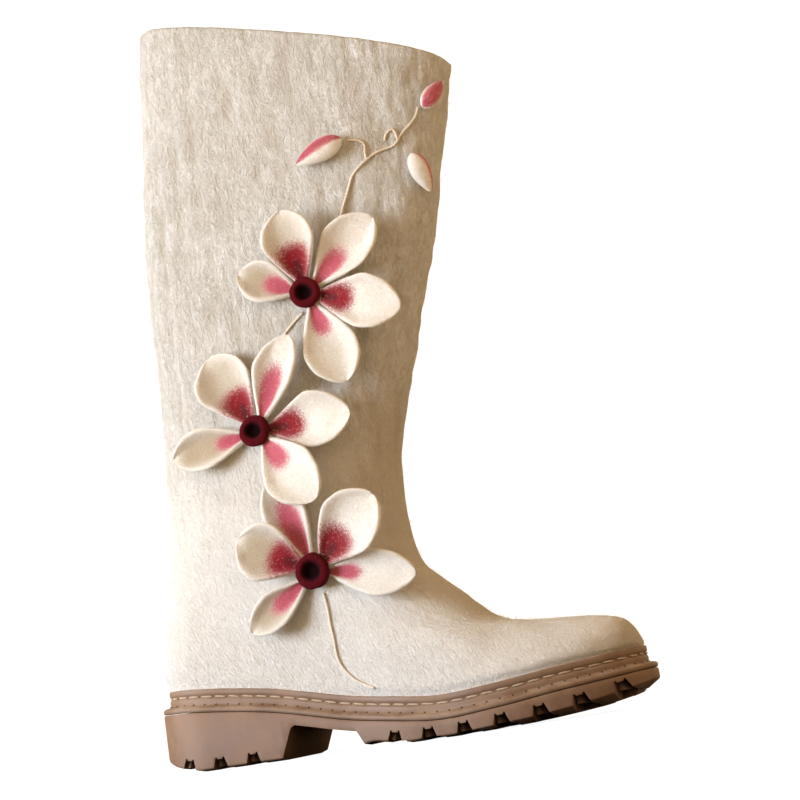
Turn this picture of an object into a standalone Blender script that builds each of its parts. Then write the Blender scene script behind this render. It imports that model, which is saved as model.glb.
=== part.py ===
"""A felt boot for the right foot, on a lugged rubber sole, with felt flowers on its outer side.

The toe points to +X, the outer side of the foot to -Y and the shaft goes up along +Z. Lengths are
in metres. Inside the script a piece's x starts at the back of the sole; the empty that carries
every piece moves them all, so that the origin lies in the middle of the heel's flat resting face.
"""
import math

import bmesh
import bpy
import numpy as np
from mathutils import Vector
from mathutils.bvhtree import BVHTree

# Sole
SOLE_LENGTH = 0.280
BALL_WIDTH = 0.096
HEEL_WIDTH = 0.068
HEEL_HEIGHT = 0.0335        # ground to the top of the sole unit, at the heel
BALL_HEIGHT = 0.0095        # the same under the ball of the foot
TOE_SPRING = 0.0135         # lift of the underside at the toe
HEEL_LENGTH = 0.079
HEEL_ROUNDING = 0.008       # lift of the underside at the back edge
SHANK_THICKNESS = 0.0056
EDGE_LIFT = 0.0035           # the tread is higher at its edge than in its middle
EDGE_SLOPE = 0.009           # width of that slope
ARCH_END = 0.468            # share of the length where the forefoot's tread starts
BREAST_SLOPE = 0.0075       # how far the heel's front face leans forward at its top
ARCH_ROUNDING = 0.003
PARTING_GROOVE = 0.0012
GROOVE_SHAPE = (1.6, 1.2)   # depths below the sole's top where it starts and ends, in grooves
LUG_DEPTH = 0.0055
LUG_GAP = 0.0088
LUG_PITCH = 0.0198
LUG_REACH = 0.33            # share of the sole's width that a gap runs in from the edge
LUG_ROWS = 7
FIRST_GAP = 0.526           # share of the length
HEEL_LUG_ROWS = 3
HEEL_GAP_START = 0.82       # pitches from the heel's front face to its first gap
HEEL_GAP_SHIFT = 0.35       # pitches that the inner side's gaps lie further ahead

# Side band that is stitched round the felt
BAND_HEIGHT = 0.0125
BAND_WALL = 0.0018
BAND_STEP = 0.0045          # how far the foot of the band stands out
BAND_FOOT = 0.0032
STITCH_DROP = 0.0042
STITCH_GROOVE = 0.0007
STITCH_GROOVE_HALF = 0.0009
BAND_ROUNDING = 0.0005
BAND_FOOT_EDGE = (0.25, 0.65)   # shares of the foot's height between which its face is upright
BAND_FOOT_BEVEL = 0.3       # share of the step

# Felt upper
FELT_WALL = 0.005
RIM_ROUNDING = 0.18         # share of the wall that the rim bulges upwards
TOE_DEPTH = 0.0248          # toe box above the band
INSTEP_RISE = 0.072         # instep above the toe box
ANKLE_HEIGHT = 0.150
ANKLE_LENGTH = 0.1396
ANKLE_WIDTH = 0.071
SHAFT_HEIGHT = 0.435        # ground to the rim at the back
COLLAR_DROP = 0.063         # how much lower the rim is at the front
COLLAR_LENGTH = 0.1843
COLLAR_WIDTH = 0.076
SHAFT_LEAN = 0.0199         # how far the back of the rim lies ahead of the back of the ankle

INSOLE_THICKNESS = 0.005
INSOLE_EDGE = 0.001

# Felt flowers, buds and stems on the outer side
PETAL_LENGTH = 0.055
PETAL_WIDTH = 0.031
PETAL_THICKNESS = 0.0024
PETAL_START = 0.0042        # distance of a petal's foot from the flower's middle
PETAL_CUP = 0.22            # rise of a petal's edges, as a share of its half width
PETAL_BEND = 0.35           # share of its slope that a petal has lost at its tip
HEART_RADIUS = 0.0088
HEART_HEIGHT = 0.0105
BUD_WIDTH = 0.0135
BUD_FLATNESS = 0.8
BUD_TAPER = 0.25
STEM_RADIUS = 0.0009
CLEARANCE = 0.0003

LOOP_HALF = 36              # steps from heel to toe on each side
INNER_EVERY = 3             # the lining face uses every third ring
BAND_RINGS = 2              # rings of the felt that lie inside the band
SAME_PLACE = 1e-9
SLOPE_REACH = 0.004         # distance ahead and behind that a slope is read over
HEART_STEPS = 12
HEART_MERGE = 0.00001
BUD_STEPS = (10, 8)         # round a bud and along it

# Edges with a larger angle between their faces stay sharp, in degrees
RUBBER_SHARP = 40
PETAL_SHARP = 60
FELT_SHARP = 80

HEEL_FLAT_START = 0.031
ORIGIN_X = (HEEL_FLAT_START + HEEL_LENGTH) / 2


def table(names, *rows):
    """A table with named columns, one row for each section."""
    return {name: np.array(column) for name, column in zip(names.split(), zip(*rows))}


# Plan of the sole. along: share of the length. centre: share of the ball width, towards the
# inner side. heel and ball: shares of those two widths that make up the half width.
PLAN = table(
    "along  centre  heel   ball",
    (0.00,  0.000,  0.490, 0.000),
    (0.12,  0.000,  0.500, 0.000),
    (0.28, -0.010,  0.480, 0.010),
    (0.42, -0.030,  0.300, 0.140),
    (0.54, -0.030,  0.100, 0.350),
    (0.64, -0.005,  0.000, 0.470),
    (0.72,  0.020,  0.000, 0.500),
    (0.82,  0.055,  0.000, 0.475),
    (0.92,  0.095,  0.000, 0.440),
    (1.00,  0.120,  0.000, 0.420),
)
HEEL_ROUND = (0.13, 2.15)    # share of the length that the heel's curve takes, and its fullness
TOE_ROUND = (0.27, 2.30)

# Underside of the sole before the arch is cut out. heel, spring: shares of the two lifts.
# edge: share of the lift of the tread's edge over its middle.
UNDERSIDE = table(
    "along  heel   spring  edge",
    (0.000, 1.00,  0.00,  0.40),
    (0.048, 0.42,  0.00,  0.36),
    (0.088, 0.12,  0.00,  0.34),
    (0.110, 0.00,  0.00,  0.34),
    (0.430, 0.00,  0.00,  0.34),
    (0.480, 0.00,  0.18,  0.34),
    (0.520, 0.00,  0.07,  0.34),
    (0.550, 0.00,  0.00,  0.34),
    (0.640, 0.00,  0.00,  0.38),
    (0.700, 0.00,  0.03,  0.55),
    (0.790, 0.00,  0.08,  0.85),
    (0.860, 0.00,  0.20,  1.00),
    (0.930, 0.00,  0.43,  1.00),
    (1.000, 0.00,  0.76,  1.00),
)

# Top of the sole unit: shares of the height at the heel and at the ball, and of the toe spring.
SOLE_TOP = table(
    "along  heel   ball   spring",
    (0.000, 1.000, 0.00,  0.00),
    (0.070, 0.985, 0.00,  0.00),
    (0.245, 0.780, 0.15,  0.00),
    (0.340, 0.590, 0.25,  0.00),
    (0.435, 0.310, 0.60,  0.00),
    (0.520, 0.120, 0.90,  0.00),
    (0.630, 0.000, 1.00,  0.00),
    (0.735, 0.000, 1.00,  0.15),
    (0.840, 0.000, 1.00,  0.40),
    (0.926, 0.000, 1.00,  0.58),
    (1.000, 0.000, 1.00,  0.75),
)

# Centre line of the foot's top, from the front of the ankle to the toe's tip. toe and instep:
# shares of the toe's depth and of the instep's rise, both counted above the band. The first two
# rows lie under the leg, where the foot's dome runs up into it.
CROWN = table(
    "along  toe    instep",
    (0.000, 1.00,  6.000),
    (0.450, 1.00,  2.600),
    (0.565, 1.00,  0.905),
    (0.567, 1.00,  0.780),
    (0.582, 1.00,  0.658),
    (0.604, 1.00,  0.575),
    (0.625, 1.00,  0.500),
    (0.646, 1.00,  0.420),
    (0.668, 1.00,  0.335),
    (0.688, 1.00,  0.240),
    (0.709, 1.00,  0.165),
    (0.730, 1.00,  0.110),
    (0.760, 1.00,  0.076),
    (0.800, 1.00,  0.045),
    (0.845, 1.00,  0.000),
    (0.911, 0.87,  0.000),
    (0.934, 0.79,  0.000),
    (0.956, 0.65,  0.000),
    (0.967, 0.48,  0.000),
    (0.973, 0.25,  0.000),
    (0.9764, 0.00, 0.000),
)

# Rings of the foot part. front: place on the crown line, as a share of the length. back: how far
# the back has moved from the band to the ankle's back. up: height of the back point between the
# top of the band and the ankle. flat: how far the ring has left the band's curve. leg: share of
# leg shape. puff: share of the felt's swelling over the band.
FOOT_RINGS = table(
    "front   back   up    flat  leg   puff",
    (0.9750, -0.08, 0.050, 0.10, 0.00, 0.6),
    (0.9715, -0.11, 0.087, 0.28, 0.00, 1.0),
    (0.9650, -0.10, 0.127, 0.50, 0.00, 1.0),
    (0.9500, -0.07, 0.160, 0.75, 0.01, 0.9),
    (0.9200, -0.02, 0.194, 1.00, 0.02, 0.8),
    (0.8700, 0.05,  0.234, 1.00, 0.04, 0.6),
    (0.8100, 0.13,  0.274, 1.00, 0.08, 0.5),
    (0.7560, 0.22,  0.317, 1.00, 0.14, 0.4),
    (0.7150, 0.32,  0.365, 1.00, 0.22, 0.3),
    (0.6820, 0.42,  0.413, 1.00, 0.33, 0.2),
    (0.6500, 0.52,  0.460, 1.00, 0.46, 0.1),
    (0.6130, 0.63,  0.510, 1.00, 0.62, 0.0),
    (0.5820, 0.72,  0.570, 1.00, 0.80, 0.0),
)

# Rings of the leg part. up: share of the way from ankle to rim at the back. back_x, length and
# width: shares of the change from ankle to collar. round: fullness of the oval.
LEG_RINGS = table(
    "up      back_x  length  width   round",
    (-0.145, -0.12,  0.060,  -0.03,  2.25),
    (-0.080, -0.04,  0.000,  0.00,   2.25),
    (0.000,  0.00,   0.000,  0.00,   2.25),
    (0.120,  0.11,   0.114,  0.10,   2.25),
    (0.250,  0.155,  0.340,  0.25,   2.30),
    (0.400,  0.175,  0.577,  0.45,   2.35),
    (0.550,  0.325,  0.774,  0.65,   2.40),
    (0.700,  0.51,   0.879,  0.80,   2.40),
    (0.850,  0.715,  0.964,  0.92,   2.40),
    (0.960,  0.87,   1.010,  0.99,   2.40),
    (1.000,  1.00,   1.000,  1.00,   2.40),
)
ANKLE_SETBACK = 0.0125       # how far the ankle's back lies ahead of the felt's foot
ANKLE_TILT = 0.022           # how much higher the ankle ring is at its back
FELT_PUFF = 0.0025           # how far the felt swells out over the band
DOME_POWER = 2.2
DOME_FALL = 0.5              # how steeply a ring drops off the crown behind its front
FOOT_SAG = 0.45              # how far a foot ring's side hangs below a straight line to its back
RELAX_PASSES = 6             # times that the foot's rings are evened out along their sides


# Flowers. turn: degrees round the shaft, from its outer side towards its front. up: share of the
# shaft's height. size: size of the heart.
FLOWERS = {
    "top": (39.3, 0.572, 1.00),
    "middle": (-1.5, 0.410, 1.00),
    "low": (44.8, 0.2237, 1.12),
}

# Petals of each flower, in order round it. angle: degrees, from the boot's front upwards.
# length, width: shares of a petal's length and width. rise: degrees that it stands off the felt.
PETALS = {
    "top": table(
        "angle  length  width  rise",
        (96,    0.85,   0.95,  17),
        (38,    1.01,   0.91,  5),
        (-20,   1.02,   0.95,  17),
        (-73,   1.00,   0.98,  5),
        (155,   0.74,   0.76,  5)),
    "middle": table(
        "angle  length  width  rise",
        (115,   0.92,   1.06,  5),
        (58,    1.01,   0.76,  17),
        (-1,    1.02,   0.98,  5),
        (-54,   1.00,   1.02,  19),
        (-172,  0.93,   0.74,  5)),
    "low": table(
        "angle  length  width  rise",
        (149,   0.82,   1.02,  17),
        (107,   1.02,   0.78,  4),
        (38,    1.00,   1.12,  17),
        (-10,   1.06,   0.78,  5),
        (-146,  0.88,   0.66,  5)),
}

# Outline of a petal: along its length, and half width as a share.
PETAL_SHAPE = table(
    "along  half",
    (0.00,  0.12),
    (0.10,  0.25),
    (0.22,  0.48),
    (0.40,  0.80),
    (0.60,  1.00),
    (0.78,  0.88),
    (0.92,  0.55),
    (1.00,  0.20),
)

PETAL_ROWS = (0, 0.12, 0.28, 0.48, 0.68, 0.86, 1)
PETAL_COLUMNS = (-1, -0.5, 0, 0.5, 1)

# Section of a flower's heart, from the bottom of its dimple over the rim to its foot.
HEART_SHAPE = table(
    "radius height",
    (0.00,  0.55),
    (0.28,  0.60),
    (0.42,  0.90),
    (0.68,  1.00),
    (0.90,  0.90),
    (1.00,  0.70),
    (0.90,  0.66),
    (0.344, 0.42),
    (0.344, 0.00),
    (0.00,  0.00),
)

# Section of a gap between two lugs: shares of the gap's half width and of its depth.
GAP_SHAPE = table(
    "across deep",
    (-1.35, -0.90),
    (-0.62, 1.00),
    (-0.36, 0.84),
    (0.36,  0.84),
    (0.62,  1.00),
    (1.35,  -0.90),
)

# Buds, from stalk to tip, in degrees round the shaft and shares of its height.
BUDS = {
    "back": ((56.9, 0.759), (35.4, 0.737), 1.0),
    "rim": ((77.8, 0.789), (84.0, 0.823), 0.8),
    "front": ((75.0, 0.729), (82.5, 0.681), 0.9),
}

# Stems: places in degrees round the shaft and shares of its height.
STEMS = {
    "main": ((53.0, 0.648), (57.2, 0.689), (60.0, 0.717), (63.8, 0.730), (68.2, 0.7395),
             (71.3, 0.7425), (72.6, 0.750), (74.3, 0.761), (77.4, 0.780)),
    "branch": ((63.2, 0.738), (63.3, 0.7485), (61.2, 0.756), (59.0, 0.7575)),
    "tendril": ((71.8, 0.7590), (70.9, 0.7655), (69.7, 0.760), (69.4, 0.751)),
    "link": ((36.0, 0.5500), (28.4, 0.5375), (17.9, 0.5195)),
    "short": ((6.0, 0.3835), (5.2, 0.366), (5.6, 0.350)),
    "low": ((48.4, 0.196), (50.5, 0.173), (52.7, 0.140), (54.1, 0.1155), (57.8, 0.090),
            (62.0, 0.070)),
}
STEM_STEP = 0.007


def curve(rows, column, at, along="along"):
    """Read a smooth curve through one column of a table, without overshoot between rows."""
    x, y = rows[along], rows[column]
    at = np.clip(np.asarray(at, float), min(x[0], x[-1]), max(x[0], x[-1]))
    step = np.diff(x)
    slope = np.diff(y) / step
    pairs = slope[:-1] * slope[1:]
    inner = np.where(pairs > 0, 2 * pairs / np.where(pairs > 0, slope[:-1] + slope[1:], 1), 0)
    tangent = np.concatenate([[slope[0]], inner, [slope[-1]]])
    index = np.clip(np.searchsorted(x, at, side="right") - 1, 0, len(step) - 1)
    h = step[index]
    t = (at - x[index]) / h
    return ((1 + 2 * t) * (1 - t) ** 2 * y[index] + t * (1 - t) ** 2 * h * tangent[index]
            + t * t * (3 - 2 * t) * y[index + 1] + t * t * (t - 1) * h * tangent[index + 1])


def sole_top(x):
    """Height of the sole unit's upper face."""
    along = x / SOLE_LENGTH
    return (curve(SOLE_TOP, "heel", along) * HEEL_HEIGHT + curve(SOLE_TOP, "ball", along) * BALL_HEIGHT
            + curve(SOLE_TOP, "spring", along) * TOE_SPRING)


def underside(x):
    """Height of the tread before it is cut."""
    along = x / SOLE_LENGTH
    return (curve(UNDERSIDE, "heel", along) * HEEL_ROUNDING
            + curve(UNDERSIDE, "spring", along) * TOE_SPRING)


def tread_edge(x):
    """Height of the tread at its outer edge."""
    return underside(x) + curve(UNDERSIDE, "edge", x / SOLE_LENGTH) * EDGE_LIFT


def band_top(x):
    return sole_top(x) + CLEARANCE + BAND_HEIGHT


def crown(x):
    """Height of the foot's top on its centre line."""
    along = x / SOLE_LENGTH
    return (band_top(x) + curve(CROWN, "toe", along) * TOE_DEPTH
            + curve(CROWN, "instep", along) * INSTEP_RISE)


def plan_loop(steps):
    """Closed outline of the sole: heel to toe on the outer side, and back on the inner side."""
    turn = np.linspace(0, math.pi, steps + 1)
    along = (1 - np.cos(turn)) / 2
    heel_share, heel_power = HEEL_ROUND
    toe_share, toe_power = TOE_ROUND
    heel_end = np.clip((heel_share - along) / heel_share, 0, 1)
    toe_end = np.clip((along - 1 + toe_share) / toe_share, 0, 1)
    ends = ((1 - heel_end ** heel_power) ** (1 / heel_power)
            * (1 - toe_end ** toe_power) ** (1 / toe_power))
    half = (curve(PLAN, "heel", along) * HEEL_WIDTH + curve(PLAN, "ball", along) * BALL_WIDTH) * ends
    middle = curve(PLAN, "centre", along) * BALL_WIDTH
    outer = np.stack([along * SOLE_LENGTH, middle - half], axis=1)
    inner = np.stack([along * SOLE_LENGTH, middle + half], axis=1)
    return np.concatenate([outer, inner[-2:0:-1]])


def outward(loop):
    """Unit normals of a closed outline."""
    ahead = np.roll(loop, -1, axis=0) - np.roll(loop, 1, axis=0)
    normal = np.stack([ahead[:, 1], -ahead[:, 0]], axis=1)
    return normal / np.linalg.norm(normal, axis=1, keepdims=True)


def even_points(loop, half):
    """Places on a fine outline, evenly spaced from heel to toe on each side."""
    middle = len(loop) // 2
    places = []
    for first, last in ((0, middle), (middle, len(loop))):
        reach = np.arange(first, last + 1)
        side = loop[reach % len(loop)]
        length = np.concatenate([[0], np.cumsum(np.linalg.norm(np.diff(side, axis=0), axis=1))])
        places.append(np.interp(np.linspace(0, length[-1], half + 1)[:-1], length, reach))
    return np.concatenate(places)


FINE_LOOP = plan_loop(360)
FINE_NORMAL = outward(FINE_LOOP)
FINE_STEP = np.arange(len(FINE_LOOP) + 1)


def outline(inset, places=None):
    """The sole's outline moved in by a distance. Equal places give parallel outlines."""
    fine = FINE_LOOP - FINE_NORMAL * inset
    fine = np.vstack([fine, fine[:1]])
    if places is None:
        places = even_points(FINE_LOOP, LOOP_HALF)
    return np.stack([np.interp(places, FINE_STEP, fine[:, k]) for k in range(2)], axis=1)


FELT_INSET = BAND_STEP + BAND_WALL + CLEARANCE


def felt_side(x, inner_side, inset):
    """The felt's y over the band at some x, on one side."""
    middle = len(FINE_LOOP) // 2
    fine = FINE_LOOP - FINE_NORMAL * inset
    side = np.vstack([fine[middle:], fine[:1]])[::-1] if inner_side else fine[:middle + 1]
    return np.interp(x, side[:, 0], side[:, 1])


def ring_points(front, back, flat, leg, puff, half_width, fullness, places):
    """One ring of the felt's outer face, from its front and back points."""
    base = outline(FELT_INSET, places)
    share = (base[:, 0] - base[:, 0].min()) / np.ptp(base[:, 0])
    x = back[0] + (front[0] - back[0]) * share
    plane = front[1] + (back[1] - front[1]) * (1 - share) ** (1 + FOOT_SAG * (1 - leg))
    lift_back, lift_front = back[1] - band_top(back[0]), front[1] - band_top(front[0])
    along_band = band_top(x) + lift_back * (1 - share) + lift_front * share
    z = flat * plane + (1 - flat) * along_band
    if leg < 1:
        fall = 1 - DOME_FALL * (1 - share)
        z = np.minimum(z, band_top(x) + (crown(x) - band_top(x)) * fall)
    count = len(base)
    side = np.where(np.arange(count) <= count // 2, -1, 1)
    toe_x = base[:, 0].max()
    even_x = toe_x - (toe_x - x) * (toe_x - base[:, 0].min()) / (toe_x - back[0])
    inset = FELT_INSET - puff * FELT_PUFF
    foot_y = np.where(side < 0, felt_side(even_x, False, inset), felt_side(even_x, True, inset))
    middle = (felt_side(even_x, False, inset) + felt_side(even_x, True, inset)) / 2
    rise = np.clip((z - band_top(x)) / (crown(x) - band_top(x)), 0, 1)
    rise = np.where(x < front[0] - SAME_PLACE, rise, 1)
    dome = (1 - rise ** DOME_POWER) ** (1 / DOME_POWER)
    ends = np.where((share > SAME_PLACE) & (share < 1 - SAME_PLACE), 1, 0)
    foot_y = middle + (foot_y - middle) * dome * ends
    oval = np.clip(1 - np.abs(2 * share - 1) ** fullness, 0, 1) ** (1 / fullness)
    leg_y = side * half_width * oval
    return np.stack([x, (1 - leg) * foot_y + leg * leg_y, z], axis=1)


def leg_size(name, at):
    return curve(LEG_RINGS, name, at, along="up")


def leg_ring(up, places):
    """A ring of the leg, from below the ankle to the rim."""
    ankle_back = FELT_INSET + ANKLE_SETBACK
    back_x = ankle_back + leg_size("back_x", up) * SHAFT_LEAN
    length = ANKLE_LENGTH + leg_size("length", up) * (COLLAR_LENGTH - ANKLE_LENGTH)
    width = ANKLE_WIDTH + leg_size("width", up) * (COLLAR_WIDTH - ANKLE_WIDTH)
    climb = SHAFT_HEIGHT - ANKLE_HEIGHT - ANKLE_TILT
    back_z = ANKLE_HEIGHT + ANKLE_TILT + climb * up
    drop = ANKLE_TILT + (COLLAR_DROP - ANKLE_TILT) * max(up, 0) ** 2
    return ring_points((back_x + length, back_z - drop), (back_x, back_z), 1, 1, 0,
                       width / 2, leg_size("round", up), places)


def foot_ring(row, places):
    """A ring of the foot, from the band to the instep. row may lie between two rows."""
    rows = np.arange(len(FOOT_RINGS["front"]), dtype=float)
    front, back, up, flat, leg, puff = (
        float(curve({"row": rows, name: FOOT_RINGS[name]}, name, row, along="row"))
        for name in ("front", "back", "up", "flat", "leg", "puff"))
    front_x = front * SOLE_LENGTH
    low = band_top(FELT_INSET)
    back_x = FELT_INSET + back * ANKLE_SETBACK
    back_z = low + up * (ANKLE_HEIGHT + ANKLE_TILT - low)
    return ring_points((front_x, crown(front_x)), (back_x, back_z), flat, leg, puff,
                       ANKLE_WIDTH / 2, LEG_RINGS["round"][0], places)


def relaxed(rings):
    """Even out the foot's rings between their front and back points, which stay."""
    along = rings[0, :, 0]
    share = (along - along.min()) / np.ptp(along)
    pull = (2 * share * (1 - share))[:, None]
    first, last = BAND_RINGS + 1, BAND_RINGS + len(FOOT_RINGS["front"])
    for _ in range(RELAX_PASSES):
        between = (rings[first - 1:last - 1] + rings[first + 1:last + 1]) / 2
        rings[first:last] += (between - rings[first:last]) * pull
    return rings


def felt_rings(places):
    """All rings of the felt's outer face, from the sole to the rim."""
    low = outline(FELT_INSET, places)
    rings = [np.column_stack([low, sole_top(low[:, 0]) + CLEARANCE]),
             np.column_stack([low, band_top(low[:, 0]) + CLEARANCE])]
    rings += [foot_ring(row, places) for row in range(len(FOOT_RINGS["front"]))]
    rings += [leg_ring(up, places) for up in LEG_RINGS["up"]]
    return relaxed(np.array(rings))


def ring_normals(rings):
    """Outward unit normals of a stack of closed rings."""
    around = np.roll(rings, -1, axis=1) - np.roll(rings, 1, axis=1)
    upward = np.gradient(rings, axis=0)
    normal = np.cross(around, upward)
    return normal / np.linalg.norm(normal, axis=2, keepdims=True)


def lining_rings(rings):
    """The felt's inner face: the outer rings moved in by the wall."""
    normal = ring_normals(rings)
    normal[:2, :, 2] = 0
    normal /= np.linalg.norm(normal, axis=2, keepdims=True)
    return rings - normal * FELT_WALL


def material(name, colour, roughness):
    made = bpy.data.materials.new(name)
    made.use_nodes = True
    shader = made.node_tree.nodes["Principled BSDF"]
    shader.inputs["Base Color"].default_value = (*colour, 1)
    shader.inputs["Roughness"].default_value = roughness
    made.diffuse_color = (*colour, 1)
    return made


def add_object(name, data, look, collection, parent, sharp_angle=RUBBER_SHARP):
    """Put a mesh or a curve into the model, as one named piece."""
    piece = bpy.data.objects.new(name, data)
    piece.parent = parent
    collection.objects.link(piece)
    data.materials.append(look)
    if isinstance(data, bpy.types.Mesh):
        data.shade_smooth()
        data.set_sharp_from_angle(angle=math.radians(sharp_angle))
    return piece


def ring_mesh(name, rings, closed_profile):
    """A solid from closed rings: a tube turned in on itself, or a stack with two ladder caps."""
    build = bmesh.new()
    rows = [[build.verts.new(point) for point in ring] for ring in rings]
    count = len(rows[0])
    pairs = list(zip(rows, rows[1:]))
    if closed_profile:
        pairs.append((rows[-1], rows[0]))
    for lower, upper in pairs:
        for i in range(count):
            j = (i + 1) % count
            build.faces.new((lower[i], lower[j], upper[j], upper[i]))
    if not closed_profile:
        for row in (rows[0], rows[-1]):
            for i in range(count // 2):
                corners = (row[i], row[i + 1], row[(count - i - 1) % count], row[(count - i) % count])
                build.faces.new(tuple(dict.fromkeys(corners)))
    bmesh.ops.recalc_face_normals(build, faces=build.faces)
    mesh = bpy.data.meshes.new(name)
    build.to_mesh(mesh)
    build.free()
    return mesh


def level_rings(levels, places):
    """Rings at the outline, one for each pair of an inset and a function that gives the height."""
    rings = []
    for inset, height in levels:
        loop = outline(inset, places)
        rings.append(np.column_stack([loop, height(loop[:, 0])]))
    return rings


def prism(build, profile, start, end):
    """Add a prism to a mesh: a profile in x and z, run from one y to another."""
    near = [build.verts.new((x, start, z)) for x, z in profile]
    far = [build.verts.new((x, end, z)) for x, z in profile]
    build.faces.new(near)
    build.faces.new(far[::-1])
    for i in range(len(profile)):
        j = (i + 1) % len(profile)
        build.faces.new((near[j], near[i], far[i], far[j]))


def add_gap(build, x, side):
    """A gap between two lugs, with two small peaks at its top, cut in from one side."""
    climb = float(tread_edge(x + SLOPE_REACH) - tread_edge(x - SLOPE_REACH))
    slope = math.atan2(climb, 2 * SLOPE_REACH)
    profile = []
    for across, up in zip(GAP_SHAPE["across"] * LUG_GAP / 2, GAP_SHAPE["deep"] * LUG_DEPTH):
        profile.append((x + across * math.cos(slope) - up * math.sin(slope),
                        float(tread_edge(x)) + across * math.sin(slope) + up * math.cos(slope)))
    here, across = float(felt_side(x, side > 0, 0)), float(felt_side(x, side < 0, 0))
    prism(build, profile, side * BALL_WIDTH, here + (across - here) * LUG_REACH)


def tread_cutter(collection, parent):
    """The arch and all gaps of the tread, as one cutter."""
    build = bmesh.new()
    breast_head = HEEL_LENGTH + BREAST_SLOPE
    ramp = ARCH_END * SOLE_LENGTH
    under = [(x, float(sole_top(x)) - SHANK_THICKNESS)
             for x in np.linspace(breast_head + ARCH_ROUNDING, ramp - 2 * ARCH_ROUNDING, 5)]
    arch = [(HEEL_LENGTH - ARCH_ROUNDING / 3, -ARCH_ROUNDING),
            (breast_head, under[0][1] - ARCH_ROUNDING), *under,
            (ramp + ARCH_ROUNDING / 3, -ARCH_ROUNDING)]
    prism(build, arch, -BALL_WIDTH, BALL_WIDTH)
    first = FIRST_GAP * SOLE_LENGTH
    for i in range(LUG_ROWS):
        add_gap(build, first + i * LUG_PITCH, -1)
        if i < LUG_ROWS - 1:
            add_gap(build, first + (i + 0.5) * LUG_PITCH, 1)
    for i in range(HEEL_LUG_ROWS):
        x = HEEL_LENGTH - LUG_PITCH * (i + HEEL_GAP_START)
        add_gap(build, x, -1)
        add_gap(build, x + LUG_PITCH * HEEL_GAP_SHIFT, 1)
    bmesh.ops.recalc_face_normals(build, faces=build.faces)
    mesh = bpy.data.meshes.new("tread_cutter")
    build.to_mesh(mesh)
    build.free()
    cutter = bpy.data.objects.new("tread_cutter", mesh)
    cutter.parent = parent
    cutter.hide_render = True
    cutter.display_type = "WIRE"
    collection.objects.link(cutter)
    return cutter


def make_outsole(looks, collection, cutters, parent, places):
    """The rubber unit: tread, heel, arch and side wall, with the parting groove at its top."""
    groove = PARTING_GROOVE
    start, end = GROOVE_SHAPE
    levels = [(EDGE_SLOPE, underside), (0, tread_edge),
              (0, lambda x: sole_top(x) - start * groove),
              (groove, lambda x: sole_top(x) - end * groove),
              (groove, sole_top)]
    sole = add_object("outsole", ring_mesh("outsole", level_rings(levels, places), False),
                      looks["rubber"], collection, parent)
    cut = sole.modifiers.new("tread", "BOOLEAN")
    cut.object = tread_cutter(cutters, parent)
    cut.operation = "DIFFERENCE"
    return sole


def make_band(looks, collection, parent, places):
    """The side band with its stitch groove, standing on the sole's edge."""
    inner, step, top = BAND_STEP + BAND_WALL, BAND_STEP, BAND_HEIGHT
    seam = top - STITCH_DROP
    foot_low, foot_high = (share * BAND_FOOT for share in BAND_FOOT_EDGE)
    bevel = step * BAND_FOOT_BEVEL

    def above_sole(rise):
        return lambda x: sole_top(x) + CLEARANCE + rise

    profile = [(inner, 0), (inner, top), (step + BAND_ROUNDING, top), (step, top - BAND_ROUNDING),
               (step, seam + STITCH_GROOVE_HALF), (step + STITCH_GROOVE, seam),
               (step, seam - STITCH_GROOVE_HALF), (step, BAND_FOOT + BAND_ROUNDING),
               (bevel, BAND_FOOT), (0, foot_high), (0, foot_low), (bevel, 0)]
    levels = [(inset, above_sole(rise)) for inset, rise in profile]
    mesh = ring_mesh("side_band", level_rings(levels, places), True)
    return add_object("side_band", mesh, looks["rubber_band"], collection, parent)


def make_upper(looks, collection, parent, places):
    """The felt shell, open at the rim and underneath."""
    rings = felt_rings(places)
    lining = lining_rings(rings)
    rim = (rings[-1] + lining[-1]) / 2 + np.array([0, 0, RIM_ROUNDING * FELT_WALL])
    low = outline(FELT_INSET + FELT_WALL, places)
    lining[0] = np.column_stack([low, sole_top(low[:, 0]) + CLEARANCE])
    kept = [0, 1] + list(range(2, len(lining) - 1, INNER_EVERY)) + [len(lining) - 1]
    stack = list(rings) + [rim] + [lining[k] for k in reversed(kept)]
    mesh = ring_mesh("upper", stack, True)
    return add_object("upper", mesh, looks["felt"], collection, parent, FELT_SHARP)


def make_insole(looks, collection, parent, places):
    """The felt insole, lying on the sole inside the upper."""
    inset = FELT_INSET + FELT_WALL + CLEARANCE
    levels = [(inset, lambda x: sole_top(x) + CLEARANCE),
              (inset, lambda x: sole_top(x) + CLEARANCE + INSOLE_THICKNESS - INSOLE_EDGE),
              (inset + INSOLE_EDGE, lambda x: sole_top(x) + CLEARANCE + INSOLE_THICKNESS)]
    mesh = ring_mesh("insole", level_rings(levels, places), False)
    return add_object("insole", mesh, looks["insole"], collection, parent)


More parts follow.
